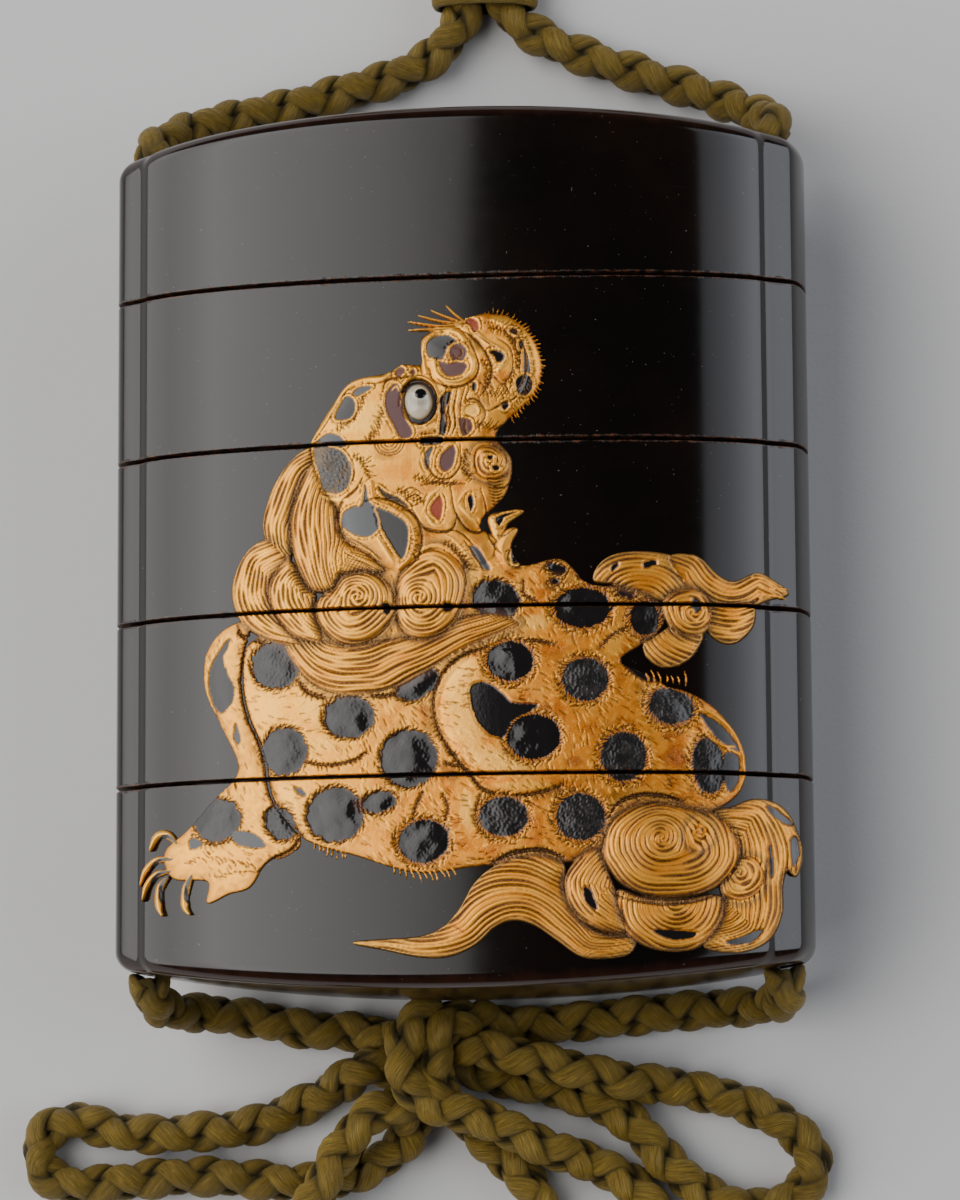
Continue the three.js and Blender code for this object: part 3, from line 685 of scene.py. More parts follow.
def cutChannels(piece):
    radius = inro["channel"]["radius"] * mm
    for side in (-1, 1):
        shape = bmesh.new()
        bmesh.ops.create_cone(shape, cap_ends=True, segments=48, radius1=radius, radius2=radius,
                              depth=2.4 * inro["halfLength"] * mm)
        for vert in shape.verts:
            vert.co = (vert.co.x + side * inro["channel"]["x"] * mm, vert.co.z, midZ * mm - vert.co.y)
        mesh = meshOf(shape, "channelCutter")
        cutter = addPiece("channelCutter", mesh, piece.data.materials[0])
        cut = piece.modifiers.new("channel", "BOOLEAN")
        cut.operation, cut.object, cut.solver = "DIFFERENCE", cutter, "EXACT"
        bpy.context.view_layer.update()
        done = bpy.data.meshes.new_from_object(piece.evaluated_get(bpy.context.evaluated_depsgraph_get()))
        piece.modifiers.clear()
        old, piece.data = piece.data, done
        bpy.data.meshes.remove(old)
        bpy.data.objects.remove(cutter)
        bpy.data.meshes.remove(mesh)


lacquer = {
    "black": (0.0026, 0.0019, 0.0016), "brown": (0.0062, 0.003, 0.0018), "shoulder": (0.038, 0.012, 0.006),
    "worn": (0.10, 0.035, 0.013), "dust": (0.3, 0.29, 0.27), "wave": 0.16, "ragged": 0.1,
}


def lacquerLook():
    look = Look("blackLacquer")
    place = look.place()
    x, y, z = look.axes(place)
    edge = abs(y - seams[0] * mm)
    for seam in seams[1:]:
        edge = edge.lower(abs(y - seam * mm))
    ragged = look.noise(look.stretch(place, (1, 0.25, 1)), 700, 4, 0.6)
    chips = look.noise(place, 1500, 3)
    wear = 1 - (edge + (0.5 - ragged) * (0.55 * mm)).between(0.16 * mm, 0.36 * mm)
    arch = (x * x) * (inro["endArch"] / inro["halfWidth"] ** 2 / mm)
    rim = inro["halfLength"] * mm - (y + arch).higher(arch - y)
    shoulder = 1 - (rim + (ragged - 0.5) * (1.2 * mm)).between(0.2 * mm, 1.3 * mm)
    warm = look.noise(place, 90, 4).between(0.35, 0.75)
    colour = look.mix(warm, lacquer["black"], lacquer["brown"])
    colour = look.mix(shoulder * 0.5, colour, lacquer["shoulder"])
    colour = look.mix(wear * chips.between(0.4, 0.65) * 0.8, colour, lacquer["worn"])
    lines = look.noise(look.stretch(place, (0.35, 9, 1), (0, 0, 0.5)), 900, 2).between(0.7, 0.78)
    dust = look.noise(place, 3800, 1).between(0.76, 0.8)
    colour = look.mix(dust * 0.25, colour, lacquer["dust"])
    wave = look.noise(look.stretch(place, (1, 0.6, 1)), 60, 2)
    soft = look.noise(place, 700, 3)
    normal = look.bump(wave, lacquer["wave"] * mm, 0.35)
    normal = look.bump(ragged * wear, lacquer["ragged"] * mm, 0.8, normal)
    rough = (0.085 + soft * 0.05 + lines * 0.12 + wear * 0.3 + shoulder * 0.06).lower(0.8)
    return look.surface(Base_Color=colour, Roughness=rough, Normal=normal, IOR=1.5)


def addCase():
    look = lacquerLook()
    for number, node in enumerate(tiers):
        shape = bmesh.new()
        loft(shape, [ring * mm for ring in tierRings(number)])
        bmesh.ops.remove_doubles(shape, verts=shape.verts, dist=1e-7)
        bmesh.ops.recalc_face_normals(shape, faces=shape.faces)
        piece = addPiece(node.replace("_", "") + "Lacquer", meshOf(shape, node), look)
        cutChannels(piece)
        piece.data.shade_smooth()
        piece.data.set_sharp_from_angle(angle=math.radians(inro["sharpAngle"]))
        assign(piece, "lacquer", node)
        print("tier", node)


addCase()
print("case")


# the lion in raised gold lacquer
lion = {
    "cell": 0.085, "edgeSlope": 3.2, "deep": -0.4, "shown": -0.12, "hair": 0.4, "cut": 0.14, "fineCut": 0.03,
    "gold": (0.72, 0.228, 0.008), "pale": (1.0, 0.445, 0.042), "orange": (0.48, 0.105, 0.002),
    "line": (0.060, 0.012, 0.002), "grey": (0.060, 0.034, 0.026), "purple": (0.085, 0.028, 0.024),
    "red": (0.24, 0.03, 0.012), "black": (0.008, 0.007, 0.007), "slate": (0.055, 0.058, 0.062),
    "dusk": (0.13, 0.038, 0.014), "ash": (0.034, 0.028, 0.024), "cream": (1.0, 0.50, 0.075),
    # the last colour is painted shade, put in hollows and under and between the features
    "paintedShade": (0.036, 0.012, 0.005),
}

# the lion, in millimetres across and up the case's front
# how high each part of the lion stands over the lacquer, and its outline, from tail to head
lionForms = [
    (0.4, [(-16.6, -8.2), (-17.6, -11.6), (-16.6, -15.8), (-14.6, -20.4), (-12.2, -24.6), (-7, -26.5),
     (-2, -27.9), (3.4, -27.4), (12, -27), (20, -24), (24.2, -21.6), (24.8, -18.4), (23.4, -15.4),
     (20.8, -13.3), (16.6, -12), (14.9, -10.3), (17.6, -8.4), (18.5, -6.4), (16.4, -4.3), (12.4, -4),
     (10, -1.9), (6.8, -2.4), (4, -1.2), (-4, -2)]),
    (0.32, [(-16.6, -6.6), (-18.8, -6.9), (-20.5, -8.9), (-20.6, -12), (-19, -15.4), (-17.6, -19),
     (-20.2, -21.7), (-22.2, -23.8), (-24.4, -25.6), (-23.6, -27.8), (-20.4, -28.2), (-20.4, -30),
     (-18.4, -29.3), (-16.6, -28.8), (-15.2, -26.9), (-13.2, -26.2), (-12.2, -24.8), (-14.6, -20.6),
     (-16.6, -15.4), (-17.4, -10.4)]),
    (0.62, [(6, -8.8), (1.6, -10.2), (-0.5, -13.4), (0.2, -17.2), (2.8, -20.4), (6.4, -21.8), (12, -21),
     (18, -20.4), (21.4, -17.6), (19.6, -13.4), (14, -10.4)]),
    (0.66, [(-11.2, 8.4), (-9.4, 11.6), (-7.6, 13.7), (-4.6, 14.3), (-3.2, 15), (-1.6, 15), (-1.6, 17.2),
     (0.4, 18), (2.6, 18.9), (4.4, 19.1), (6.8, 18.1), (8.4, 15.2), (8, 12.4), (5.6, 10), (4.6, 8.6),
     (5.9, 6.6), (5.4, 3.8), (3.2, 1.2), (4.6, -0.2), (3.4, -2.6), (-3.2, -2.8), (-8, -0.6), (-9, 3),
     (-11, 5.4)]),
    (0.86, [(3.6, 18.7), (5.6, 18.9), (7.6, 17.2), (8.5, 14.6), (7.8, 12.2), (5.6, 10.8), (6.4, 13),
     (6.6, 15.6), (5, 17.4)]),
    (0.8, [(-0.4, 8), (1.3, 8.2), (1.2, 6.2), (0.2, 5.5), (-0.4, 6.4)]),
    (0.8, [(-1.3, 2.6), (-0.2, 4.2), (0.6, 4), (0.6, 1.8), (-0.2, 1.1)]),
    (0.8, [(1.4, 3), (2.6, 4.2), (3.2, 3.2), (3.3, 1.2), (2.4, 1.6)]),
    (0.66, [(4.2, 2), (6.9, 2.3), (5.6, 1.2), (4.9, -0.3), (4.1, 0.8)]),
    (0.56, [(5.4, 0.6), (6.4, 0.7), (5.8, -0.8), (6.6, -2.6), (5.2, -2.9), (4.4, -1)]),
]

# locks of hair: height, outline, and the line that their hairs follow, or the middle they curl round
lionLocks = [
    (0.56, [(-13.6, -8.2), (-12.6, -10.2), (-11, -11.9), (-8.6, -12.9), (-5.6, -12.8), (-3, -12),
     (-0.6, -10.7), (2, -9.3), (4.4, -8.2), (6.6, -7.3), (4.6, -6.4), (1.8, -6.6), (-0.6, -8), (-3, -8.2),
     (-6, -8.5), (-8.6, -8.6), (-10.6, -8), (-12.2, -7.8)], [(-14.4, -7), (-13.3, -9.6), (-11.4, -11.7),
     (-8.6, -12.9), (-5.6, -12.8), (-3, -12), (-0.6, -10.7), (2, -9.3), (4.4, -8.2), (8, -6.6)]),
    (0.6, [(-11.2, 8.2), (-12.9, 7.2), (-14.4, 5.2), (-15.2, 3), (-15.4, 1.5), (-15, -0.2), (-14.3, -1.2),
     (-13.2, -1.8), (-12.8, 0.6), (-12.9, 2.6), (-12.2, 4.8), (-10.9, 6.8)], [(-10.2, 8.7), (-12.9, 7.2),
     (-14.4, 5.2), (-15.2, 3), (-15.4, 1.5), (-15, -0.2), (-14.3, -1.2), (-12.4, -2.8)]),
    (0.52, [(-14.9, 0.5), (-16.8, -0.4), (-18, -2.6), (-18.1, -4.6), (-17.3, -6.4), (-15.8, -7.6),
     (-14, -8.4), (-12, -8.6), (-12.8, -7.4), (-14.4, -5), (-14.6, -3), (-13.2, -1.3)], [(-13.8, 0.7),
     (-16.8, -0.4), (-18, -2.6), (-18.1, -4.6), (-17.3, -6.4), (-15.8, -7.6), (-14, -8.4),
     (-10.6, -8.9)]),
    (0.68, [(-13, -1.4), (-14.4, -2.4), (-14.9, -4), (-14.5, -5.8), (-13.2, -7.4), (-11.6, -8.3),
     (-10.2, -8.4), (-10.2, -7), (-10.9, -5.4), (-10.8, -4.3), (-11.6, -3.4)], [(-11.6, -1.2),
     (-13.4, -1.5), (-14.6, -2.6), (-14.9, -4), (-14.5, -5.8), (-13.2, -7.4), (-11.6, -8.3), (-9, -8.8)]),
    (0.76, [(-10.9, 6.8), (-12.2, 4.8), (-12.9, 2.6), (-12.9, 0.5), (-12.5, -1.6), (-11.6, -3.4),
     (-10.7, -4.1), (-9.2, -4.1), (-8.6, -3), (-7, -2.6), (-5, -2.6), (-6, -0.9), (-8.2, 0.2),
     (-8.8, 1.8), (-9.2, 3.2), (-10, 4.4)], [(-10.4, 8), (-12.2, 4.8), (-12.9, 2.6), (-12.9, 0.5),
     (-12.5, -1.6), (-11.6, -3.4), (-10.2, -5), (-8, -5.6)]),
    (0.8, [(-3.8, -4), (-3.2, -2.4), (-2, -1), (-0.4, -0.4), (1.2, -1.2), (2.1, -3), (2, -5), (1.2, -7),
     (-0.4, -8.2), (-2.4, -8.3), (-3.8, -6.8)], (-1.7, -4.9)),
    (0.86, [(-9.2, -3.9), (-8.4, -2.9), (-6.9, -2.6), (-5.3, -2.9), (-4.2, -4), (-3.8, -5.6),
     (-4.5, -7.3), (-6.2, -8.5), (-8.4, -8.7), (-10, -7.6), (-10.8, -6), (-10.4, -4.6)], (-7, -4.7)),
    # tail over the back
    (0.5, [(12.8, -3.7), (13.2, -2.4), (14.6, -1.5), (17, -1.3), (19.4, -1.7), (20.8, -2.8), (20.8, -4.2),
     (19.4, -4.8), (18.4, -5.4), (17.2, -4.9), (14.6, -4)], (16.8, -6.6)),
    (0.46, [(19, -1.8), (20.6, -1.5), (21.6, -1.9), (22.8, -3.1), (24.2, -3.7), (26, -2.9), (27.2, -3.3),
     (28.5, -4.4), (27, -5), (25.4, -5.8), (23.4, -6.2), (21.6, -5.2), (20.2, -4.2)], [(18, -0.6),
     (20.6, -1.4), (21.6, -1.9), (22.8, -3.1), (24.2, -3.7), (26, -2.9), (27.2, -3.3), (29.5, -4.8)]),
    (0.5, [(21.9, -5.6), (23.4, -5.7), (25.6, -5.5), (25.7, -7.2), (24.6, -8.6), (23.4, -8.9),
     (22.3, -8.2), (21.8, -7)], [(20.6, -4.6), (22, -5.3), (24, -5.7), (27, -5)]),
    (0.48, [(18.4, -8), (19.2, -7.6), (20.6, -8), (21.6, -8.2), (20.9, -9.8), (19.8, -10.7), (18.4, -11),
     (17.2, -10.3), (16.8, -9.2), (17.6, -8.6)], (21.3, -6.6)),
    (0.62, [(18.4, -5.6), (19.2, -4.7), (20.8, -4.3), (22, -5), (22.4, -6.6), (21.8, -8), (20.4, -8.4),
     (19.2, -7.8), (18.6, -6.8)], (20.9, -6.4)),
    # tail by the lower rim
    (0.5, [(-7.6, -33.7), (-5.6, -33.5), (-2, -33.3), (0, -32.5), (1.4, -31), (2.6, -29), (4.2, -27.6),
     (6.6, -26.7), (8.8, -26.8), (10.1, -27.6), (10, -29.4), (10.6, -31), (12, -32.6), (13.6, -33.3),
     (15.8, -33.4), (15.4, -34.8), (13.4, -35.2), (11.4, -35), (9.4, -33.6), (7.6, -32.4), (5.8, -32),
     (4.2, -32.6), (2.6, -34), (0.4, -34.9), (-2, -34.9), (-4.8, -34.3)], [(-9, -34), (-4.8, -34.3),
     (-2, -34.9), (0.4, -34.9), (2.6, -34), (4.2, -32.6), (5.8, -32), (7.6, -32.4), (9.4, -33.6),
     (11.4, -35), (13.4, -35.2), (16.5, -34.8)]),
    (0.68, [(10.2, -28.6), (11.2, -27), (12.8, -26.2), (13.5, -27.6), (14.2, -29.4), (14.7, -31),
     (15.2, -33), (13.4, -33), (11.4, -32), (10.4, -30.4)], [(12.8, -25.4), (11.2, -27), (10.2, -28.6),
     (10.4, -30.4), (11.4, -32), (13.4, -33), (16, -33.6)]),
    (0.55, [(22.4, -23.4), (24, -22.6), (25.4, -22), (27, -22.1), (28.2, -23), (29, -24.8), (29.3, -26.6),
     (28.8, -28.2), (28.1, -27.8), (27.7, -29), (27.6, -31.4), (26.6, -33.6), (24.6, -34.6),
     (22.4, -34.6), (21.4, -34), (22.8, -32), (23, -30), (24.2, -27.4)], [(22, -22.6), (24, -22.2),
     (26.2, -22.6), (27.4, -24.4), (27.9, -26.6), (27.8, -29), (27.6, -31.4), (26.6, -33.6),
     (24.6, -34.6), (21, -35)]),
    (0.66, [(14.5, -29.6), (16.6, -30.2), (19.6, -30.4), (22.6, -30), (23, -31.4), (22, -33.4),
     (20.4, -34.5), (17.6, -34.5), (15.4, -33.4), (14.6, -31.4)], (19.1, -30.4)),
    (0.7, [(23.2, -27.6), (24.4, -26.6), (25.9, -26.9), (26.5, -28.4), (25.8, -30), (24.2, -30.6),
     (22.9, -29.8)], (24.3, -28.2)),
    (0.86, [(13.3, -26.4), (13.8, -24.2), (15.4, -22.8), (17.6, -22.3), (20, -22.7), (22.6, -23.3),
     (24.1, -25), (24.4, -27.2), (23, -29), (20.6, -30), (17.6, -30.2), (15, -29.2), (13.8, -27.8)],
     (18.2, -25.3)),
    (0.88, [(20.2, -24.4), (21.1, -23.5), (22.1, -24.1), (22.4, -25.2), (21.7, -26.2), (20.6, -26.2),
     (20.1, -25.4)], (21.2, -24.9)),
    # beard
    (0.9, [(2.5, 6.6), (3, 7.8), (4.2, 8), (5.4, 7.2), (5.8, 6), (5.2, 5), (4, 4.7), (2.9, 5.3)],
     (4.3, 6.5)),
]

# spots: place, half widths, turn in degrees, how much fur hangs into them and how rough they are
lionSpots = [
    (-14.3, -10.2, 2.15, 1.95, -10, 0.1, 0.5), (-7.9, -14.8, 2.15, 1.75, 0, 0.1, 0.15),
    (-13.5, -17.5, 1.95, 2, 10, 0.1, 0.15), (-2.85, -18.4, 2.4, 2.4, 0, 0.05, 0),
    (-2.1, -12.2, 1.9, 1.15, 28, 0.1, 0.1), (-9.1, -22.95, 2.45, 2.25, 0, 0.05, 0),
    (-5.35, -22, 1.45, 0.85, 8, 0.05, 0), (-1.6, -25.35, 2.3, 1.95, 10, 0.3, 0.15),
    (-13.9, -23.6, 1.5, 1.15, -50, 0.1, 0.8), (-19.5, -23.1, 2.1, 1.75, 10, 0.1, 0),
    (4.6, -5.2, 1.95, 1.6, -15, 0.1, 0.3), (9.7, -2.7, 0.8, 0.4, -25, 0.1, 0),
    (9.6, -3.8, 0.35, 0.2, 0, 0.1, 0), (11.8, -6, 2.5, 1.9, 0, 0.5, 0.1),
    (15.4, -4.9, 0.75, 0.22, -25, 0, 0), (16.9, -6.9, 1.35, 1.6, 0, 0.3, 0.2),
    (6.2, -1.7, 0.35, 0.55, 0, 0, 0), (5.75, -10.4, 2.15, 1.85, -5, 0.4, 0),
    (12, -12, 2.1, 2, 0, 0.4, 0.8), (7.7, -16.8, 2.35, 2, 5, 0.2, 0),
    (15.1, -18.5, 2.05, 2.25, 0, 0.5, 0.75), (19, -14.3, 2.1, 1.75, -15, 0.7, 0.9),
    (22, -19.2, 1.45, 2.5, 5, 0.3, 0.7), (5.1, -23.4, 2.2, 1.8, 0, 0.3, 0.7),
    (11.5, -23.5, 2.2, 2.15, 0, 0.4, 0.8),
]


def smoothLine(points, closed=False):
    # Catmull-Rom through the points
    knots = np.array(points, float)
    first, last = 2 * knots[0] - knots[1], 2 * knots[-1] - knots[-2]
    ends = np.vstack([knots[-1:], knots, knots[:2]] if closed else [first, knots, last])
    found = []
    t = np.linspace(0, 1, 7, endpoint=False)[:, None]
    for p0, p1, p2, p3 in zip(ends, ends[1:], ends[2:], ends[3:]):
        found.append(0.5 * (2 * p1 + (p2 - p0) * t + (2 * p0 - 5 * p1 + 4 * p2 - p3) * t ** 2
                            + (3 * p1 - p0 - 3 * p2 + p3) * t ** 3))
    return np.vstack(found if closed else found + [knots[-1:]])


def ellipse(x, y, wide, tall, turn=0, count=14):
    t = np.linspace(0, 2 * math.pi, count, endpoint=False)
    c, s = math.cos(math.radians(turn)), math.sin(math.radians(turn))
    return np.stack([x + wide * np.cos(t) * c - tall * np.sin(t) * s,
                     y + wide * np.cos(t) * s + tall * np.sin(t) * c], axis=1)


def mottle(x, y, size, seed=0):
    # a soft cloudy pattern between 0 and 1
    total = 0
    for k in range(7):
        angle = (k * 2.399 + seed * 1.7) % (2 * math.pi)
        pull = (0.7 + 0.16 * ((k * 5 + seed) % 7)) * 2 * math.pi / size
        total = total + np.sin((x * math.cos(angle) + y * math.sin(angle)) * pull + k * 1.3 + seed
                               + 1.2 * np.sin((x * math.sin(angle) - y * math.cos(angle)) * pull * 0.53 + k))
    return 0.5 + total / 9


def chance(k, seed=0.0):
    # the same number from 0 to 1 for the same k
    return np.mod(np.sin(k * 12.9898 + seed * 78.233) * 43758.5453, 1.0)


whole = (slice(None), slice(None))


def blend(first, second, amount):
    return np.asarray(first) + (np.asarray(second) - first) * amount[..., None]


class Panel:
    # the points of one tier's front, with the lion's height and paint at each
    def __init__(self, xs, ys):
        self.xs, self.ys = xs, ys
        self.x, self.y = np.meshgrid(xs, ys)
        self.height = np.full(self.x.shape, lion["deep"])
        self.even = self.height.copy()  # the height without its hairs and cuts
        self.paint = np.zeros((*self.x.shape, 3)) + lion["gold"]
        self.gloss = np.zeros(self.x.shape)  # 0 is gold and 1 is bare lacquer

    def window(self, line, margin):
        (x0, y0), (x1, y1) = line[:, :2].min(axis=0) - margin, line[:, :2].max(axis=0) + margin
        columns, rows = np.searchsorted(self.xs, (x0, x1)), np.searchsorted(self.ys, (y0, y1))
        if columns[0] == columns[1] or rows[0] == rows[1]:
            return None
        return slice(*rows), slice(*columns)

    def near(self, w, line, closed=False):
        # distance to a line, how far along it, on which side, and the line's length
        x, y = self.x[w], self.y[w]
        best, along, side = np.full(x.shape, 1e9), np.zeros(x.shape), np.zeros(x.shape)
        ends = np.vstack([line, line[:1]]) if closed else line
        run = 0.0
        for (ax, ay), (bx, by) in zip(ends[:, :2], ends[1:, :2]):
            dx, dy = bx - ax, by - ay
            size = dx * dx + dy * dy
            if size < 1e-12:
                continue
            px, py = x - ax, y - ay
            t = np.clip((px * dx + py * dy) / size, 0, 1)
            gap = (px - t * dx) ** 2 + (py - t * dy) ** 2
            closer = gap < best
            best = np.where(closer, gap, best)
            along = np.where(closer, run + t * math.sqrt(size), along)
            side = np.where(closer, np.sign(dx * py - dy * px), side)
            run += math.sqrt(size)
        return np.sqrt(best), along, side, run

    def depth(self, w, line):
        # distance in from a closed outline, below zero outside it
        x, y = self.x[w], self.y[w]
        hit = np.zeros(x.shape, bool)
        for (ax, ay), (bx, by) in zip(line, np.roll(line, -1, axis=0)):
            if ay == by:
                continue
            hit ^= ((ay > y) != (by > y)) & (x < (bx - ax) * (y - ay) / (by - ay) + ax)
        gap = self.near(w, line, closed=True)[0]
        return np.where(hit, gap, -gap)

    def tint(self, w, amount, colour, gloss=None):
        self.paint[w] = blend(self.paint[w], colour, amount)
        if gloss is not None:
            self.gloss[w] += (gloss - self.gloss[w]) * amount

    def rise(self, d, lip, height, soft):
        # steep outside the outline, swelling from its lip to its full height inside
        swell = lip + (height - lip) * (1 - np.exp(-np.maximum(d, 0) / soft))
        return np.where(d > 0, swell, lip + d * lion["edgeSlope"])

    def form(self, height, outline):
        line = smoothLine(outline, closed=True)
        w = self.window(line, 0.6)
        if w is None:
            return
        rise = self.rise(self.depth(w, line), 0.2, height, 0.7)
        self.height[w] = np.maximum(self.height[w], rise)
        self.even[w] = self.height[w]

    def hairs(self, w, d, line, flow, wander):
        # which hair each point is on, as a running number, and how far along that hair it is
        if isinstance(flow, list):
            gap, along, side, run = self.near(w, smoothLine(flow))
            far = along / run
            narrow = 1 - 0.5 * smooth(far, 0.5, 1) - 0.3 * smooth(1 - far, 0.6, 1)
            return gap * side / (lion["hair"] * narrow) + 0.8 * (wander - 0.5), far * 7
        dx, dy = self.x[w] - flow[0], self.y[w] - flow[1]
        r, theta = np.hypot(dx, dy), np.arctan2(dy, dx)
        bearing = np.unwrap(np.arctan2(line[:, 1] - flow[1], line[:, 0] - flow[0]))
        outer = np.hypot(*(line - flow).T).mean()
        # the outer hairs follow the outline, where it goes round the middle
        rim = 0.6 * smooth(r, 0.6, 0.8 * outer) * (abs(bearing[-1] - bearing[0]) > 4)
        reach = (r * (1 - rim) + rim * (outer - d)) / lion["hair"]
        return reach - theta / math.pi + 0.8 * (wander - 0.5), theta * 1.3

    def lock(self, height, outline, flow, seed):
        line = smoothLine(outline, closed=True)
        w = self.window(line, 0.6)
        if w is None:
            return
        d = self.depth(w, line)
        x, y = self.x[w], self.y[w]
        rise = self.rise(d, 0.3, height, 0.55)
        # painted shade on the ground round the foot of the lock
        footShade = smooth(d, -0.8, -0.05) * (d < 0) * smooth(self.height[w], -0.1, 0.1)
        self.tint(w, 0.8 * footShade, lion["grey"])
        wander = mottle(x, y, 7, seed)
        phase, streak = self.hairs(w, d, line, flow, wander)
        k = np.floor(phase)
        part = phase - k - 0.5
        press = 0.5 + 0.5 * np.sin(streak * (1.3 + 2.2 * chance(k, seed)) + 6.3 * chance(k, seed + 2))
        cut = np.exp(-(part / (0.1 + 0.18 * press)) ** 2) * (0.45 + 0.55 * smooth(press, 0.1, 0.5))
        fine = 2 * phase + 0.6 * wander
        fine = np.exp(-((fine - np.floor(fine) - 0.5) / 0.16) ** 2) * 0.45
        inner = smooth(d, 0.02, 0.16)
        top = d > -0.02
        over = top & (rise + 0.12 > self.height[w])
        combed = rise - lion["cut"] * cut * inner - lion["fineCut"] * fine * inner
        self.height[w] = np.where(over, combed, np.maximum(self.height[w], np.where(top, -1, rise)))
        self.even[w] = np.where(over, rise, self.even[w])
        ink = np.where((chance(k, seed + 5) > 0.5)[..., None], lion["line"], lion["purple"])
        # the hairs are paler at random, and painted light makes the locks paler towards the left, where the
        # key light falls
        paler = 0.75 * chance(k, seed + 7) * smooth(d, 0.1, 1.3) + 0.5 * (mottle(x, y, 3.4, seed) - 0.5) \
            + 0.4 * smooth(-x, -8, 8)
        edge = 1 - smooth(d + 0.2 * (mottle(x, y, 0.8, seed) - 0.5), 0.05, 0.5)
        shade = blend(lion["gold"], lion["pale"], np.clip(paler, 0, 1))
        shade = blend(shade, lion["dusk"], 0.6 * fine * (1 - smooth(d, 0.2, 1.5) * 0.5))
        shade = blend(shade, ink, 0.95 * np.clip(1.2 * cut, 0, 1))
        shade = blend(shade, lion["grey"], 0.8 * edge)
        self.paint[w] = np.where(over[..., None], shade, self.paint[w])
        self.gloss[w] = np.where(over, 0, self.gloss[w])

    def patch(self, outline, colour="black", gloss=1.0, rough=0.0, sink=0.16, ragged=0.06, seed=1,
              dome=0.0, rim=0.0):
        line = smoothLine(outline, closed=True)
        w = self.window(line, 0.5)
        if w is None:
            return
        x, y = self.x[w], self.y[w]
        d = self.depth(w, line) + ragged * 2 * (mottle(x, y, 0.45, seed) - 0.5) \
            + ragged * 2.4 * (mottle(x, y, 1.3, seed + 1) - 0.5)
        amount = smooth(d, -0.05, 0.05)
        on = smooth(self.height[w], -0.1, 0.0)
        if rim:  # a raised gold edge with a dark line outside it
            ridge = np.exp(-((d + 0.6 * rim) / (0.45 * rim)) ** 2)
            ditch = np.exp(-((d + 1.7 * rim) / (0.35 * rim)) ** 2)
            ditch = ditch * smooth(mottle(x, y, 1.9, seed), 0.3, 0.6)
            self.tint(w, 0.8 * ridge * on, lion["pale"])
            self.tint(w, 0.85 * ditch * on, lion["line"])
            self.height[w] += (0.06 * ridge - 0.07 * ditch) * on
        colour = lion[colour]
        if rough:
            grain = smooth(mottle(x, y, 0.36, seed + 4) * mottle(x, y, 1.7, seed + 5), 0.2, 0.5) * rough
            colour = blend(colour, lion["ash"], grain)
        self.tint(w, amount * on, colour, gloss * (1 - rough * 0.45))
        flat = self.even[w] - sink + rough * 0.09 * (mottle(x, y, 0.4, seed + 6) - 0.5)
        if dome:  # a bare spot swells, and leans a little one way
            middle = line.mean(axis=0)
            lean = 0.05 * (chance(seed, 3) - 0.35)
            flat = flat + dome * smooth(d, 0, 1.9) + lean * (x - middle[0]) \
                + 0.09 * (mottle(x, y, 2.6, seed) - 0.5)
        self.height[w] += on * smooth(d, -0.16, 0.06) * (flat - self.height[w])

    def stroke(self, points, width, raised, colour, strength=1.0, gloss=None, taper=True, base=None):
        # a thin line, cut in where raised is below zero
        line = smoothLine(points) if len(points) > 2 else np.array(points, float)
        w = self.window(line, width + 0.1)
        if w is None:
            return
        gap, along, side, run = self.near(w, line)
        wide = width / 2
        if taper:
            wide = wide * np.clip(np.minimum(along, run - along) / (0.3 * run + 1e-6), 0, 1) ** 0.6 + 0.015
        amount = np.clip(1 - gap / (wide + 0.03), 0, 1)
        amount = amount * amount * (3 - 2 * amount)
        if base is not None:
            self.height[w] = np.maximum(self.height[w], base * 1.5 * amount - 0.35 * (amount <= 0.3))
        self.height[w] += raised * amount * (self.height[w] > lion["deep"] + 0.1)
        self.tint(w, smooth(amount, 0.05, 0.5) * strength, lion[colour], gloss)

    def paintShadeAndHighlight(self, reach=5):
        # painted shade darkens the hollows and painted highlight lightens the ridges
        h = np.maximum(self.height, 0.15)
        span, soft = 2 * reach + 1, h
        for _ in range(4):  # a running mean down the columns, then down the rows, twice
            sums = np.cumsum(np.pad(soft, ((reach, reach), (0, 0)), mode="edge"), axis=0)
            sums = np.insert(sums, 0, 0, axis=0)
            soft = ((sums[span:] - sums[:-span]) / span).T
        gold = 1 - smooth(self.gloss, 0.05, 0.3)
        self.tint(whole, 0.7 * smooth(soft - h, 0.012, 0.1) * gold, lion["paintedShade"])
        self.tint(whole, 0.36 * smooth(h - soft, 0.012, 0.07) * gold, lion["cream"])

    def wash(self, x, y, wide, tall, colour, strength, turn=0):
        line = ellipse(x, y, wide, tall, turn)
        w = self.window(line, 1.0)
        if w is None:
            return
        c, s = math.cos(math.radians(turn)), math.sin(math.radians(turn))
        dx, dy = self.x[w] - x, self.y[w] - y
        r = np.hypot((dx * c + dy * s) / wide, (dy * c - dx * s) / tall)
        ragged = 0.35 * (mottle(self.x[w], self.y[w], 1.2, 3) - 0.5)
        self.tint(w, (1 - smooth(r + ragged, 0.45, 1.15)) * strength, lion[colour])


def hairFringe(panel, outline, every, length, lean, colour, raised, base, seed, width, out=1, strength=0.9,
               closed=False):
    # short hairs that stand off an outline
    line = smoothLine(outline, closed=closed)
    run = runOf(line)
    for number, place in enumerate(np.arange(0, run[-1], every)):
        before, here, after = (np.array([np.interp(place + step, run, line[:, i]) for i in (0, 1)])
                               for step in (-0.2, 0, 0.2))
        ahead = after - before
        size = np.hypot(*ahead)
        if size < 1e-6:
            continue
        ahead /= size
        off = np.array([ahead[1], -ahead[0]]) * out
        reach = length * (0.6 + 0.8 * float(chance(number, seed)))
        tilt = lean + 0.5 * (float(chance(number, seed + 1)) - 0.5)
        tip = here + (off * math.cos(tilt) + ahead * math.sin(tilt)) * reach
        root = here - off * reach * 0.35
        bend = (root + tip) / 2 + ahead * 0.12 * reach
        panel.stroke([root, bend, tip], width, raised, colour, strength, 0, True, base)
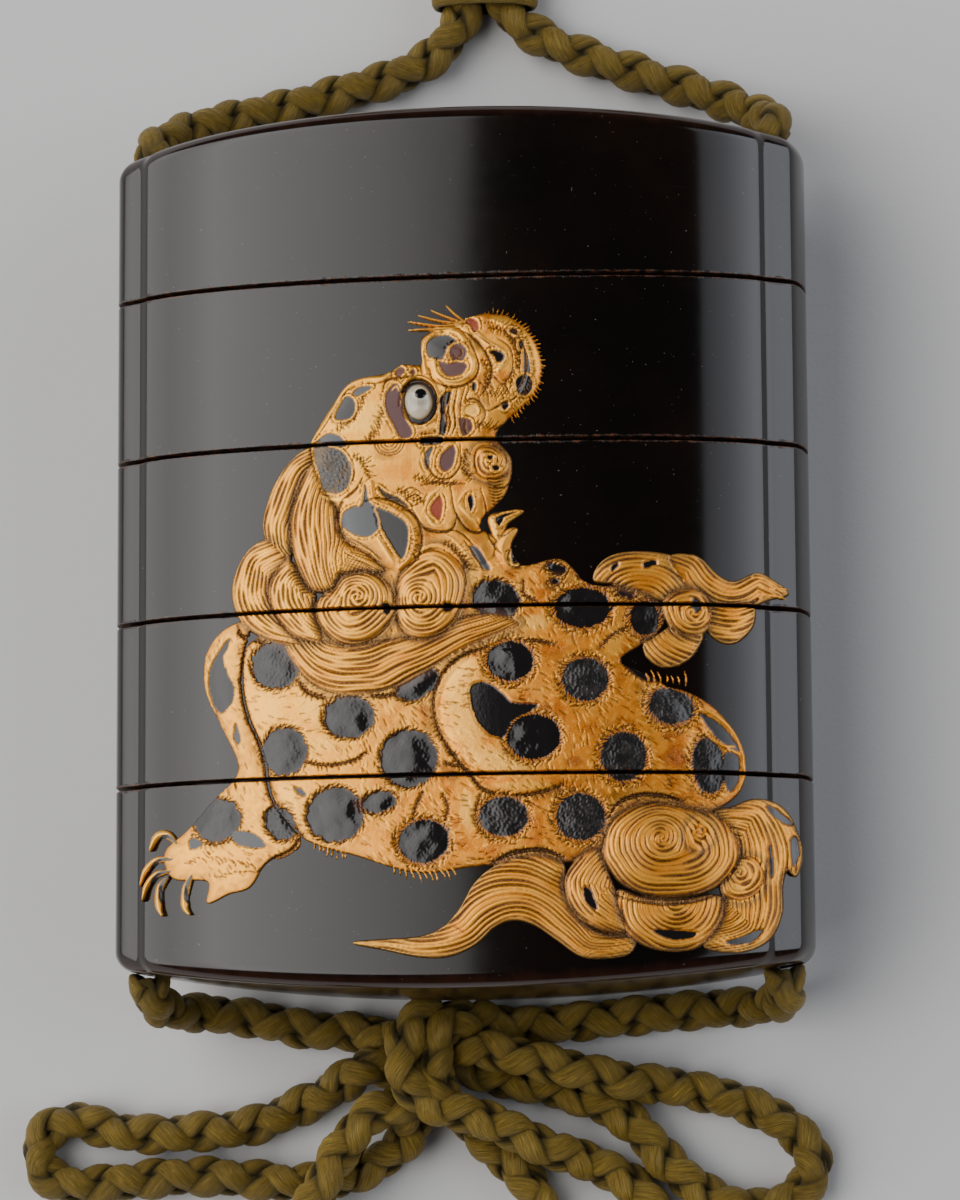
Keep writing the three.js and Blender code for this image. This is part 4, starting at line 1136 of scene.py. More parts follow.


# soft tints: place, half widths, colour, strength and turn; the dark brown tints are painted shade under and
# between the features
lionWashes = [
    (2, -14.4, 2, 4.4, "cream", 0.75, 10), (5, -18.9, 3.4, 1.2, "cream", 0.85, -18),
    (1.6, -11.2, 1.8, 1.2, "cream", 0.7, 30), (6.9, -20.9, 3.2, 0.45, "pale", 0.8, 0),
    (2.2, -22.9, 0.9, 2, "cream", 0.8, 10), (-11, -14, 2.2, 1.2, "cream", 0.7, -40),
    (-15, -13.6, 1.6, 1.8, "cream", 0.6, 20), (-10.3, -17, 1.6, 0.7, "cream", 0.7, 0),
    (-17.8, -12, 0.9, 4.4, "pale", 0.7, 8), (-13, -21.6, 1, 1.8, "cream", 0.7, 30),
    (2.6, -2.8, 0.6, 1.8, "cream", 0.9, 12), (7.6, -7.2, 2, 0.8, "cream", 0.8, 8),
    (14.4, -9.2, 0.8, 1.2, "pale", 0.7, -30), (8.6, -4.2, 1.6, 1.3, "orange", 0.5, 0),
    (8.2, -14.4, 1.7, 0.55, "red", 0.75, -18), (6.6, -13.9, 1, 0.4, "red", 0.7, -20),
    (11, -18.9, 0.9, 0.6, "red", 0.6, 0), (19.6, -18.6, 1.5, 1.1, "red", 0.75, 0),
    (13.4, -15.9, 1.6, 0.5, "red", 0.25, 0), (-3.2, -21.9, 0.6, 0.4, "red", 0.4, 0),
    (5.2, -18, 0.5, 0.35, "red", 0.25, 0), (-7, 7.2, 2, 1.6, "cream", 0.6, 0),
    (-6, 10.6, 1.9, 1.6, "cream", 0.9, 0), (-7.6, 9.7, 2, 0.6, "cream", 0.9, 0),
    (-3.6, 5.8, 1.8, 1, "gold", 0.6, 0), (3.8, 12.6, 1.2, 1.6, "dusk", 0.35, 0),
    (5.6, 17.6, 1.6, 0.7, "orange", 0.5, -20), (6.2, 14.2, 0.6, 2.2, "pale", 0.6, 0),
    (2.2, 9.6, 0.9, 0.9, "dusk", 0.45, 0), (-21, -25.6, 2.6, 1, "pale", 0.8, 0),
    (-15.6, -25.3, 1.6, 0.35, "red", 0.4, -12), (-19.8, -25.2, 1.4, 0.3, "red", 0.35, 0),
    (-1.4, 10.1, 0.9, 0.5, "gold", 0.8, 0), (2.9, 16.6, 0.7, 1, "paintedShade", 0.7, 30),
    (3.2, 11.2, 1, 0.9, "paintedShade", 0.6, 0), (0.6, 10.6, 0.7, 1.9, "paintedShade", 0.65, 0),
    (-0.6, 9, 1.5, 0.5, "paintedShade", 0.6, 0), (1.7, 1.2, 0.9, 1.2, "paintedShade", 0.6, 20),
    (-1.4, 0.8, 0.9, 1, "paintedShade", 0.6, 0), (2.2, -2.2, 0.9, 0.8, "dusk", 0.7, 40),
    (-3.6, 2, 0.9, 1.2, "paintedShade", 0.5, 40), (2.1, 6.2, 0.5, 1.2, "dusk", 0.6, 0),
    (6.4, 16.4, 0.5, 1.4, "dusk", 0.6, 30), (-4.6, 7.2, 1.4, 0.5, "dusk", 0.4, 0),
    (9.4, -21.6, 3.2, 0.5, "paintedShade", 0.55, 4), (-1.2, -14.6, 0.6, 3.2, "dusk", 0.6, 6),
    (0.6, -19.6, 0.7, 1.4, "dusk", 0.6, 35), (13.8, -3.6, 2.2, 0.5, "paintedShade", 0.6, -10),
    (14.4, -21.9, 2.6, 0.7, "paintedShade", 0.6, 30), (7.2, -26.6, 3.4, 0.5, "paintedShade", 0.6, 0),
    (4.6, -8.6, 3, 0.5, "dusk", 0.6, 10), (19.2, -16.6, 1.2, 0.6, "red", 0.6, 20),
    (9.6, -9.4, 1.4, 0.6, "orange", 0.6, 0), (16.9, -12.8, 1.2, 0.6, "dusk", 0.6, -20),
]

# cut lines between the forms: points, width, depth and colour
lionContours = [
    ([(-16.3, -7.2), (-17, -8.6), (-17.3, -10.6), (-17.2, -12.6), (-16.7, -14.6), (-15.8, -16.6),
     (-15.2, -18.4), (-14.9, -20.6), (-14.2, -22.2), (-12.8, -23.9), (-11.9, -24.7)], 0.36, 0.2, "line"),
    ([(5, -8.9), (2, -9.8), (0.2, -11.2), (-0.7, -13.4), (-0.4, -15.8), (0.8, -18), (2.3, -19.8),
     (3.6, -21.2), (6, -21.7), (8.4, -21.4), (10, -20.9)], 0.3, 0.12, "dusk"),
    ([(-12.4, -11.4), (-11.4, -12.6), (-9.8, -13.2)], 0.4, 0.1, "dusk"),
    ([(-6, -13.1), (-4.6, -13.1), (-3.4, -12.8)], 0.3, 0.1, "dusk"),
    ([(-17.6, -7), (-17.2, -7.6), (-15.4, -8.2)], 0.3, 0.14, "dusk"),
    ([(-11.8, -18.4), (-9.8, -18.8), (-7.6, -18.5), (-6.4, -17.8)], 0.22, 0.07, "dusk"),
    ([(0.2, -18.8), (1.6, -19.2)], 0.2, 0.08, "line"), ([(0.4, -17.9), (1.2, -18.2)], 0.16, 0.06, "line"),
    ([(4.6, -9.1), (7.4, -8.7), (9.4, -9)], 0.25, 0.08, "dusk"),
    ([(6.9, -3.6), (7, -4.8), (8, -5.4)], 0.25, 0.08, "dusk"),
    ([(11.2, -3.2), (12.6, -3.8), (14.2, -4)], 0.3, 0.12, "dusk"),
    ([(13.2, -9.4), (14.2, -8.4), (15.6, -7.6)], 0.25, 0.08, "dusk"),
    ([(14.9, -10.2), (15.8, -11.4), (17, -12.1)], 0.22, 0.07, "dusk"),
    ([(13.8, -23.6), (14.6, -22.4), (16.4, -21.7), (18.4, -21.8), (19.8, -22.2)], 0.34, 0.14, "grey"),
    ([(4.2, -27.2), (6, -26.4), (8.4, -26.2), (10, -26.9)], 0.3, 0.14, "grey"),
    ([(-1.6, -21.2), (-2.2, -22.4), (-2.4, -23.2)], 0.25, 0.07, "dusk"),
    ([(0, -21.4), (0.5, -22.6), (0.2, -23.6)], 0.2, 0.07, "dusk"),
    ([(3.2, -21.5), (3, -22.6), (3.2, -24.2), (4, -25.2)], 0.25, 0.1, "dusk"),
    ([(-21.9, -24.2), (-20.6, -25), (-18.6, -24.9), (-17.6, -24.4)], 0.14, 0.05, "cream"),
    ([(-16.8, -24.1), (-16.3, -24.7), (-16, -25.2)], 0.14, -0.05, "cream"),
    ([(-12.2, -24.9), (-13, -25.9), (-14.6, -26.6), (-15.6, -27.6)], 0.3, 0.12, "line"),
]

# patches of bare lacquer: colour, gloss, roughness and outline
lionPatches = [
    ("black", 1, 0.1, [(-18.4, -7.7), (-19.2, -8.6), (-20.1, -10), (-20.3, -11.6), (-19.9, -13.2),
     (-19.2, -14), (-18.2, -13.2), (-18, -12), (-18.6, -10.6), (-19, -9.4), (-18.5, -8.4)]),
    ("slate", 0.7, 0.2, [(-17.8, -15), (-18, -16), (-17.6, -16.8), (-17.4, -16.2)]),
    ("slate", 0.8, 0.1, [(-18.1, -24.2), (-17, -24.1), (-15.8, -24.6), (-15.2, -25.4), (-16.4, -25.5),
     (-17.8, -25.1)]),
    ("slate", 0.8, 0.1, [(-22, -24.6), (-21.4, -24.6), (-20.8, -25.1), (-21.9, -25.4)]),
    ("black", 1, 0, [(2.4, -12.6), (3.6, -12.1), (4.8, -12.8), (6, -13.9), (8, -14.1), (7.4, -14.7),
     (6, -15.4), (5.2, -16.8), (3.8, -16.4), (2.7, -14.8)]),
    ("black", 1, 0, [(15.1, -10.4), (16.2, -9.6), (17, -10.4), (17.9, -11.4), (20, -11.6), (20.8, -12.2),
     (17.6, -12.3), (16.2, -11.7)]),
    ("black", 1, 0, [(21.4, -15), (22.6, -15.4), (23.8, -16.6), (24.5, -17.9), (23.6, -17.6),
     (22.4, -16.6)]),
    ("black", 1, 0.1, [(23.3, -18.2), (24.4, -18.4), (24.4, -20.4), (23.6, -21.4), (23.2, -20)]),
    ("slate", 0.8, 0, [(2.6, -0.6), (3.4, -1.2), (4.1, -2.6), (3.6, -2.6), (2.6, -1.4)]),
    ("slate", 0.5, 0.2, [(-12.6, -20.6), (-12, -20.7), (-11.6, -21.3), (-12.2, -21.2)]),
]

# bare slots and thin ridges between the locks
lockSlots = [
    ("black", 1, 0, [(11.7, -29.4), (12.2, -29.5), (12.8, -30.8), (12.7, -31.2), (11.9, -30.6)]),
    ("black", 1, 0, [(17.4, -33), (18.6, -32.9), (20.8, -33.1), (20.4, -33.6), (18.8, -33.7)]),
    ("black", 1, 0, [(23.2, -33.9), (24.4, -33.4), (26.2, -32.8), (25.4, -33.8), (24, -34.1)]),
    ("slate", 0.7, 0.2, [(26.6, -22.4), (27.6, -22.9), (28.6, -23.9), (28, -23.9), (27, -23.2)]),
    ("slate", 0.7, 0, [(28.4, -25.4), (28.9, -25), (29.1, -26.4), (28.6, -27.4)]),
    ("black", 1, 0, [(26.7, -26), (26.9, -26.1), (27.1, -27.8), (26.8, -28.4)]),
    ("black", 1, 0, [(16.9, -2.2), (17.8, -2), (17.9, -2.4), (17, -2.7)]),
    ("black", 1, 0, [(14.2, -2.6), (14.7, -2.2), (14.8, -2.5), (14.3, -3)]),
    ("black", 1, 0.1, [(20.9, -5.2), (21.4, -5.4), (21.6, -6), (21.2, -6.4), (20.8, -5.8)]),
    ("black", 1, 0, [(0.2, -5.4), (0.9, -5.5), (1, -6), (0.3, -6.2)]),
    ("black", 1, 0.1, [(-5, -5.4), (-4.4, -5.3), (-4.3, -6), (-4.8, -6.2)]),
]
# ridges and cuts: points, width, height and colour
lockRidges = [
    ([(21.2, -14.3), (22.6, -15), (23.9, -16.2), (24.7, -17.8), (24.9, -19.6), (24.4, -21.2)], 0.34, 0.12,
     "gold"),
    ([(21.2, -15.8), (22.2, -16.9), (23.2, -17.5), (24.2, -17.6)], 0.24, 0.1, "gold"),
    ([(0.5, -32.4), (1.2, -32.6), (1.8, -33)], 0.14, 0, "red"),
    ([(-12.6, -1.4), (-11.8, -3.2), (-10.8, -4.3), (-9.4, -4.5)], 0.24, -0.14, "grey"),
    ([(24.2, -24.6), (24.6, -26), (24.2, -27.6), (23.2, -29)], 0.24, -0.14, "grey"),
    ([(14.2, -30), (16, -30.5), (18.4, -30.8), (21, -30.5), (22.8, -29.8)], 0.24, -0.14, "grey"),
]
# single points of hair at the end of the upper tail
tuftTips = [
    [(26, -4), (27.2, -4.1), (28.6, -4)], [(26, -4.6), (27.4, -4.7), (28.3, -4.9)],
    [(25.6, -3.2), (26.8, -3.4), (27.9, -4.1)],
]
# claws: points and width
lionClaws = [
    ([(-23.2, -24.9), (-24.2, -24.1), (-25.2, -24.2), (-25.9, -25.4)], 1.1),
    ([(-23.6, -26.2), (-25.2, -26.2), (-26.3, -27), (-26.9, -28.3)], 0.9),
    ([(-23.8, -27.2), (-25.2, -27.4), (-26.2, -28.3), (-26.6, -29.6)], 0.9),
    ([(-24, -27.6), (-24.9, -28.6), (-25, -30), (-24.6, -31)], 1.15),
    ([(-21.8, -27.6), (-22.4, -28.8), (-22.5, -30.2), (-22, -31)], 1.15),
]

# the head: raised ridges, bare patches, cut lines, rows of fur and the spikes of the brow
headRidges = [
    ([(-11.1, 8.7), (-10.2, 9.8), (-9.1, 11.4), (-8.4, 12.7), (-7.6, 13.5), (-6.3, 13.9), (-5, 13.9),
     (-4.3, 14.3)], 0.5, 0.12, "pale"),
    ([(-1.2, 14.2), (-1.5, 15.4), (-1.4, 16.6), (-0.8, 17.4), (0.3, 17.8), (1.5, 17.5), (2.1, 16.8)], 0.5,
     0.16, "pale"),
    ([(-0.5, 15.3), (-0.3, 14.2), (0.5, 13.5), (1.6, 13.4), (2.6, 14), (2.8, 15), (2.4, 15.7)], 0.4, 0.14,
     "cream"),
    ([(0.7, 15.1), (0.5, 15.9), (0.9, 16.6), (1.7, 16.7), (2.1, 16.2)], 0.26, 0.12, "gold"),
    ([(2.2, 18.8), (3, 17.6), (4, 16.6), (5.2, 15.9), (5.6, 15.1), (5, 14.3)], 0.5, 0.12, "cream"),
    ([(-0.2, 13.5), (0.6, 12.6), (0.9, 12.2)], 0.4, 0.1, "gold"),
    ([(1.2, 12.4), (0.9, 11), (1.1, 9.8), (0.8, 8.8)], 0.22, 0.12, "cream"),
    ([(1.7, 12.6), (1.4, 11), (1.5, 9.8), (1.2, 8.8)], 0.2, 0.1, "cream"),
    ([(-3.3, 13.6), (-1.8, 13.9), (-0.6, 13.2), (-0.1, 12), (-0.3, 10.6), (-1.2, 9.7)], 0.3, 0.14,
     "gold"),
    ([(-5.9, 4.9), (-5.6, 3.4), (-4.2, 2.7), (-2.8, 1.7), (-2.2, 0.2), (-2.5, -1.3), (-3.6, -2.4)], 0.6,
     0.12, "gold"),
]

headPatches = [
    ("slate", 0.8, 0.1, [(-7.5, 12.7), (-6.8, 13.2), (-5.8, 13.2), (-6.3, 12.8), (-7.1, 12.4)]),
    ("black", 1, 0.1, [(-8.9, 11.2), (-8.1, 12.4), (-7.4, 12.1), (-7.3, 11.2), (-7.8, 10.5), (-9, 10.5)]),
    ("slate", 0.8, 0.1, [(-10.6, 8.7), (-9.7, 9.3), (-8.8, 9.1), (-8.2, 8.6), (-8.2, 8.1), (-10.4, 8.1)]),
    ("slate", 0.45, 0.9, [(-10.9, 8.2), (-9.4, 8.1), (-8.3, 7.6), (-7.6, 6.3), (-7.8, 5), (-8.6, 4.2),
     (-9.9, 4.4), (-10.4, 5.6)]),
    ("purple", 0.3, 0, [(-3.9, 14.3), (-3.5, 14.8), (-3, 14.6), (-3.1, 14.2), (-3.6, 14)]),
    ("purple", 0.3, 0, [(-2.6, 14.3), (-2.3, 14.6), (-2.1, 14.3), (-2.3, 14)]),
    ("black", 1, 0, [(-1.2, 16.6), (-0.5, 17.3), (0.7, 17.3), (1.5, 16.7), (0.7, 16.4), (0.4, 15.6),
     (0, 15), (-0.5, 15.4), (-1, 15.6)]),
    ("purple", 0.5, 0, [(0.8, 15.9), (1.2, 16.5), (1.9, 16.5), (2.3, 15.9), (2, 15.2), (1.2, 15.1)]),
    ("purple", 0.5, 0, [(-0.1, 15.1), (0.3, 14.1), (1, 13.8), (1.9, 14), (2.3, 14.7), (1.6, 15),
     (0.7, 14.9)]),
    ("purple", 0.5, 0, [(-4.7, 12.3), (-4.2, 13.1), (-3.6, 13.3), (-3.25, 12.4), (-3.2, 11.2),
     (-2.9, 10.2), (-2.4, 9.4), (-2.5, 8.8), (-3.4, 8.7), (-4, 9.8), (-4.6, 11)]),
    ("black", 1, 0, [(0, 12), (0.9, 12.5), (0.7, 11.6), (0.35, 10.8), (0.5, 9.6), (0.3, 8.7), (-0.1, 8.7),
     (0, 10), (0, 11.2)]),
    ("black", 0.9, 0, [(-1.7, 8.6), (-0.6, 8.7), (0.2, 8.6), (0.1, 8.1), (-1, 8), (-1.7, 8.1)]),
    ("cream", 0.1, 0, [(2, 10.9), (2.4, 11.3), (3, 11.2), (3.2, 10.7), (2.7, 10.3), (2.1, 10.4)]),
    ("purple", 0.3, 0.2, [(1.6, 10.2), (2.6, 10), (2.7, 9.2), (2, 8.7), (1.7, 9.2)]),
    ("black", 1, 0, [(5.9, 17.5), (6.2, 17.8), (6.6, 17.5), (6.4, 17.2)]),
    ("black", 1, 0, [(6.7, 16.6), (7.1, 16.7), (7.2, 16.1), (6.8, 16)]),
    ("black", 1, 0, [(7.1, 15.8), (7.3, 15.9), (7.6, 14.8), (7.6, 13.8), (7.1, 13.9), (7.1, 14.8)]),
    ("black", 1, 0, [(6.4, 13.2), (7, 13.8), (7.6, 13.6), (7.8, 12.8), (7.3, 12.1), (6.6, 12.2)]),
    ("black", 1, 0, [(4.2, 15.8), (4.9, 15.9), (5.5, 15.5), (5.3, 15), (4.8, 14.9), (4.6, 15.4)]),
    ("black", 1, 0, [(2.8, 13.2), (3.1, 13.1), (3, 12.5), (2.7, 12.6)]),
    ("red", 0.3, 0, [(2.1, 18.4), (2.6, 18.8), (3.2, 18.5), (3.3, 17.8), (2.9, 17.6), (2.6, 18.2)]),
    ("black", 1, 0, [(5.2, 11.2), (5.6, 11.6), (5.8, 11.2), (5.4, 10.8)]),
    ("purple", 0.5, 0, [(0.1, 7.1), (1.1, 7.9), (1.3, 7.1), (1, 6.1), (0.4, 5.7), (-0.1, 6.2)]),
    ("slate", 0.4, 0.3, [(-0.6, 7.8), (-1.2, 7.4), (-1.4, 6.6), (-1.1, 5.9), (-0.9, 6.4), (-0.9, 7)]),
    ("slate", 1, 0, [(-6.4, 4.8), (-6.1, 3.4), (-5.4, 2.8), (-4.6, 2.3), (-5.3, 1), (-6.2, 0.4),
     (-7.4, 0.6), (-8.4, 1.4), (-8.4, 2.4), (-7.4, 3), (-6.7, 3.1)]),
    ("black", 1, 0, [(-5.4, 2.8), (-4, 2.2), (-2.9, 1.3), (-2.8, -0.3), (-3.3, -1.6), (-4.1, -0.6),
     (-5, 1), (-5.2, 2)]),
    ("black", 0.3, 0.3, [(-5.3, 4.6), (-4.6, 4.1), (-3.4, 3.5), (-2.6, 2.7), (-3.8, 3.2), (-4.9, 3.8)]),
    ("red", 0.3, 0, [(-0.9, 2.6), (-0.1, 3.6), (0.2, 3), (0, 1.7), (-0.4, 1.8)]),
    ("black", 1, 0, [(2.3, 3.4), (2.7, 3.6), (2.8, 2.8), (2.5, 2.3)]),
    ("black", 1, 0, [(4.6, 1.6), (5.2, 2), (6.4, 2.2), (5.4, 1.7), (4.9, 1)]),
    ("black", 1, 0, [(4, 6.9), (4.5, 6.9), (4.4, 6.6), (4.1, 6.6)]),
    ("black", 1, 0, [(4.4, 6), (4.8, 6.1), (5, 5.8), (4.6, 5.6)]),
]

headLines = [
    ([(-3.5, 11.4), (-3.2, 12.8), (-2.4, 13.5), (-1.2, 13.4), (-0.4, 12.5), (-0.3, 11.2), (-0.9, 10.1),
     (-1.9, 9.8)], 0.34, -0.12, "line"),
    ([(-4.9, 12.6), (-4.6, 13.6), (-3.6, 13.9), (-2.4, 13.9), (-1.3, 13.9)], 0.26, -0.12, "line"),
    ([(-1.5, 14.1), (-1.8, 15.4), (-1.7, 16.9), (-0.9, 17.8), (0.4, 18.2), (1.6, 17.9), (2.4, 17)], 0.2,
     -0.1, "line"),
    ([(-0.9, 14.6), (-0.6, 13.6), (0.4, 13), (1.7, 12.9), (2.9, 13.5), (3.3, 14.6), (3, 15.8),
     (2.6, 16.8)], 0.24, -0.12, "line"),
    ([(1.7, 17.8), (2.7, 17.2), (3.6, 16.2), (4.4, 14.6), (4.2, 13.2), (3.4, 12)], 0.3, -0.1, "line"),
    ([(5.7, 17.9), (6.6, 17.2), (7.2, 16), (7.3, 14.4), (6.9, 13), (6, 12)], 0.22, -0.1, "line"),
    ([(5, 16.9), (5.9, 16.2), (6.2, 15), (6, 13.8), (5.2, 12.8)], 0.16, -0.08, "dusk"),
    ([(0.6, 12.9), (0.3, 11.4), (0.6, 10), (0.4, 8.9)], 0.22, -0.12, "line"),
    ([(2.6, 12.9), (2.2, 11.8), (3, 11.8), (3.7, 11.1), (3.8, 10.2), (3, 9.2)], 0.2, -0.1, "line"),
    ([(5.9, 8.2), (5.8, 7.4), (6.2, 6.2), (5.9, 4.8), (5.2, 4.2), (4.4, 4.3)], 0.26, -0.1, "line"),
    ([(-1.4, 8.1), (-1.2, 6.6), (-0.4, 5.3), (0.8, 5.1), (1.7, 6.2), (1.7, 8)], 0.2, -0.1, "line"),
    ([(-2.4, 2.6), (-1.5, 1.1), (-0.2, 0.6), (1, 0.8), (1.4, 2)], 0.3, -0.12, "line"),
    ([(0.9, 4.3), (1.2, 2.4), (2.2, 0.8), (3.4, 0.6), (3.8, 2.4), (3.4, 4.2)], 0.28, -0.12, "line"),
    ([(-6.4, 3.4), (-5.2, 3.6), (-3.6, 3.1), (-2.2, 2), (-1.6, 0.4), (-1.9, -1.4), (-3, -2.6)], 0.34,
     -0.12, "line"),
    ([(-8.8, 0.4), (-9, 2), (-8.4, 3.4), (-7.2, 4.4), (-6.6, 5.4)], 0.3, -0.1, "dusk"),
    ([(2, -0.2), (2.8, -1.4), (3.6, -2.8)], 0.26, -0.1, "line"),
    ([(3.8, 0.6), (4.4, -0.6), (5.2, -1.4)], 0.24, -0.1, "line"),
    ([(-10.8, 8.8), (-9.8, 10.2), (-8.9, 11.6), (-8.1, 12.8), (-7.3, 13.3)], 0.14, -0.08, "line"),
    ([(-6.2, 13.5), (-5.2, 13.5), (-4.4, 13.8)], 0.12, -0.06, "line"),
    ([(1.1, 15.7), (1.5, 15.4), (1.9, 15.7), (1.7, 16.2), (1.3, 16.2)], 0.1, -0.05, "dusk"),
    ([(1, 12.6), (0.7, 11.2), (0.9, 9.8), (0.6, 8.8)], 0.14, -0.1, "line"),
    ([(1.5, 12.8), (1.2, 11.2), (1.3, 9.8), (1, 8.8)], 0.14, -0.1, "line"),
    ([(2.2, 13), (1.8, 11.6), (1.7, 10.2)], 0.14, -0.08, "dusk"),
    ([(2.2, 18.5), (3.2, 17.3), (4.2, 16.5), (5, 16)], 0.16, -0.1, "red"),
    ([(3.4, 13.4), (4, 12.4), (4.2, 11.2)], 0.1, -0.05, "dusk"),
    ([(3.8, 13.8), (4.6, 12.6)], 0.1, -0.05, "dusk"),
    ([(4.4, 14), (5.2, 13), (5.6, 12.4)], 0.1, -0.05, "dusk"),
    ([(3.2, 12.2), (3.6, 11.2)], 0.1, -0.05, "dusk"),
    ([(2.2, 10), (2.1, 9.3), (2.4, 8.8)], 0.16, -0.06, "purple"),
    ([(3.2, 9.8), (3.4, 9)], 0.12, -0.05, "dusk"),
    ([(-7.7, 6.9), (-7.4, 5.9), (-7.7, 4.9), (-8.3, 4.4)], 0.12, -0.06, "line"),
    ([(-7, 4.9), (-6.6, 4.2), (-7.2, 3.4)], 0.16, 0.05, "cream"),
    ([(-10.2, 4), (-9, 3.6), (-7.8, 3.6)], 0.3, 0.06, "cream"),
    ([(-4.7, 14.2), (-4, 14.9), (-3.2, 15)], 0.16, 0.04, "gold"),
    ([(-2.8, 14.7), (-2.2, 14.9), (-1.8, 14.5)], 0.14, 0.04, "gold"),
    ([(-1.7, 9.8), (-1.3, 10), (-1, 9.7)], 0.14, -0.08, "line"),
    ([(-4.1, 12.8), (-3.7, 13.1), (-3.5, 12.7)], 0.1, 0.05, "pale"),
    ([(-1.4, 2.4), (-0.9, 3.6), (-0.1, 4.2)], 0.18, 0.05, "cream"),
    ([(-1.2, 2), (-0.6, 1.2), (0.1, 1.1)], 0.2, 0.05, "cream"),
    ([(1.5, 3), (2.2, 3.9), (3.4, 4.2)], 0.2, 0.06, "gold"),
    ([(1.6, 2.8), (2.4, 1.9), (3, 1.1)], 0.24, 0.05, "cream"),
    ([(4.2, 2.2), (5.4, 2.5), (6.8, 2.3)], 0.16, 0.05, "pale"),
    ([(4.2, 1.8), (4.4, 0.6), (4.8, -0.2)], 0.22, 0.05, "cream"),
    ([(5, 1), (5.8, 1.5), (6.8, 2.1)], 0.14, 0.05, "cream"),
    ([(4.6, 0.2), (5.4, 0.2), (6.2, 0.8)], 0.14, -0.06, "grey"),
    ([(5.8, -1), (6.3, -0.8), (6.6, -1.4), (6.5, -2.2), (6, -2.3), (5.8, -1.6), (5.9, -1)], 0.18, 0.08,
     "cream"),
    ([(0.8, 0.8), (1.8, 0.4), (2.8, -0.6)], 0.16, -0.06, "line"),
    ([(0.2, 0.4), (1.2, -0.2), (2.2, -1.4)], 0.2, 0.04, "cream"),
    ([(-1.6, 4.6), (-0.4, 4.8), (0.8, 4.7), (2.2, 4.6)], 0.2, -0.1, "dusk"),
    ([(-3.4, 4), (-2.4, 4.4), (-1.4, 3.8)], 0.12, -0.05, "line"),
    ([(-3, 3.4), (-2, 3.8), (-1.4, 3)], 0.12, -0.05, "line"),
    ([(-2.6, 2.8), (-1.8, 3)], 0.12, -0.05, "line"),
    ([(-5.4, 0.3), (-4.6, -1), (-4, -2)], 0.3, 0.06, "cream"),
    ([(-7.9, -0.2), (-6.6, -0.9), (-5.4, -1.9)], 0.14, -0.08, "dusk"),
    ([(-8.2, -0.9), (-7, -1.6), (-5.8, -2.3)], 0.14, -0.08, "dusk"),
    ([(-8, 0.4), (-6.6, -0.3), (-5, -1.6)], 0.14, -0.08, "line"),
    ([(-8.5, 1.6), (-8.2, 0.4), (-7, -0.4)], 0.14, -0.08, "grey"),
]
headFur = [
    [(-8.9, 9.6), (-7.6, 10.4), (-6.8, 11.6), (-6.4, 12.6)], [(-6.4, 8.4), (-5.4, 9.4), (-5, 10.8)],
    [(-7.4, 7.4), (-6.4, 6.6), (-6, 5.4)], [(4.2, 18), (5.8, 17.4), (6.6, 16), (6.5, 14.4), (5.6, 13)],
    [(3.6, 12.4), (4.8, 12.2), (5.8, 12.4)], [(2.9, 9.8), (4.4, 9.4), (5.4, 9.2)],
    [(-2.2, 5.4), (-0.6, 4.9), (1, 4.6)], [(2.4, 7.6), (2, 6.2), (2.6, 5)],
    [(-3.4, 1.6), (-2.4, 0.2), (-2.2, -1.4)], [(0.4, -0.2), (1.6, -1.2), (2.4, -2.4)],
    [(-3.6, 4.4), (-2.4, 3.6), (-1.4, 3.2)], [(3.6, 15.2), (4.2, 14.2), (4, 12.8)],
]
# fringes: points, spacing, length, lean, colour, height, foot, seed, width and side
headFringes = [
    ([(3.4, 18.8), (4.4, 19.15), (5.8, 18.8), (7, 18), (7.9, 16.8), (8.4, 15.2), (8.4, 13.8), (8, 12.4),
     (7, 11.2), (6, 10.2)], 0.34, 0.42, 0.5, "gold", 0, 0.16, 3, 0.12, -1),
    ([(3.8, 18.3), (5.6, 18.2), (7, 17), (7.6, 15.6), (7.7, 13.8), (7.2, 12.4), (6, 11)], 0.3, 0.3, 0.5,
     "line", -0.06, None, 5, 0.1, -1),
    ([(3.6, 10.8), (4.6, 11.2), (5.8, 11.8), (6.6, 12.2)], 0.28, 0.6, 1.9, "line", -0.06, None, 7, 0.12,
     -1),
]
bellyFringes = [
    ([(-4.2, -27.6), (-2.6, -28), (-0.4, -28), (1.2, -27.7)], 0.5, 0.7, 0.5, "pale", 0, 0.2, 2, 0.16),
    ([(-11, -25.4), (-9.6, -25.9), (-8, -26.4)], 0.4, 0.5, 0.5, "pale", 0, 0.16, 3, 0.14),
    ([(17.2, -12), (18.4, -12.1), (20.6, -12.3)], 0.5, 0.75, -0.3, "gold", 0, 0.2, 4, 0.16, -1),
]
footFringes = [
    ([(-22.6, -26.2), (-20.8, -25.9), (-19, -26), (-17.4, -26.3), (-16, -26.6)], 0.42, 0.75, 2.5, "line",
     -0.06, None, 6, 0.12, -1),
    ([(-19.8, -27.6), (-18.2, -27.4), (-16.6, -27.2)], 0.45, 0.6, 2.3, "line", -0.06, None, 8, 0.12, -1),
]
headSpikes = [
    [(1.8, 18), (-0.2, 17.9), (-2.7, 17.95)], [(2, 18.2), (-0.2, 18.2), (-2.8, 18.65)],
    [(2, 18.3), (0, 18.6), (-1.9, 19.15)], [(2, 18.4), (0.4, 19), (-0.9, 19.6)],
    [(2.1, 18.5), (1.2, 19.2), (0.5, 19.95)],
]


coatHair = {"count": 900, "width": 0.1, "kinds": (("line", -0.05), ("dusk", -0.03), ("pale", 0.04))}


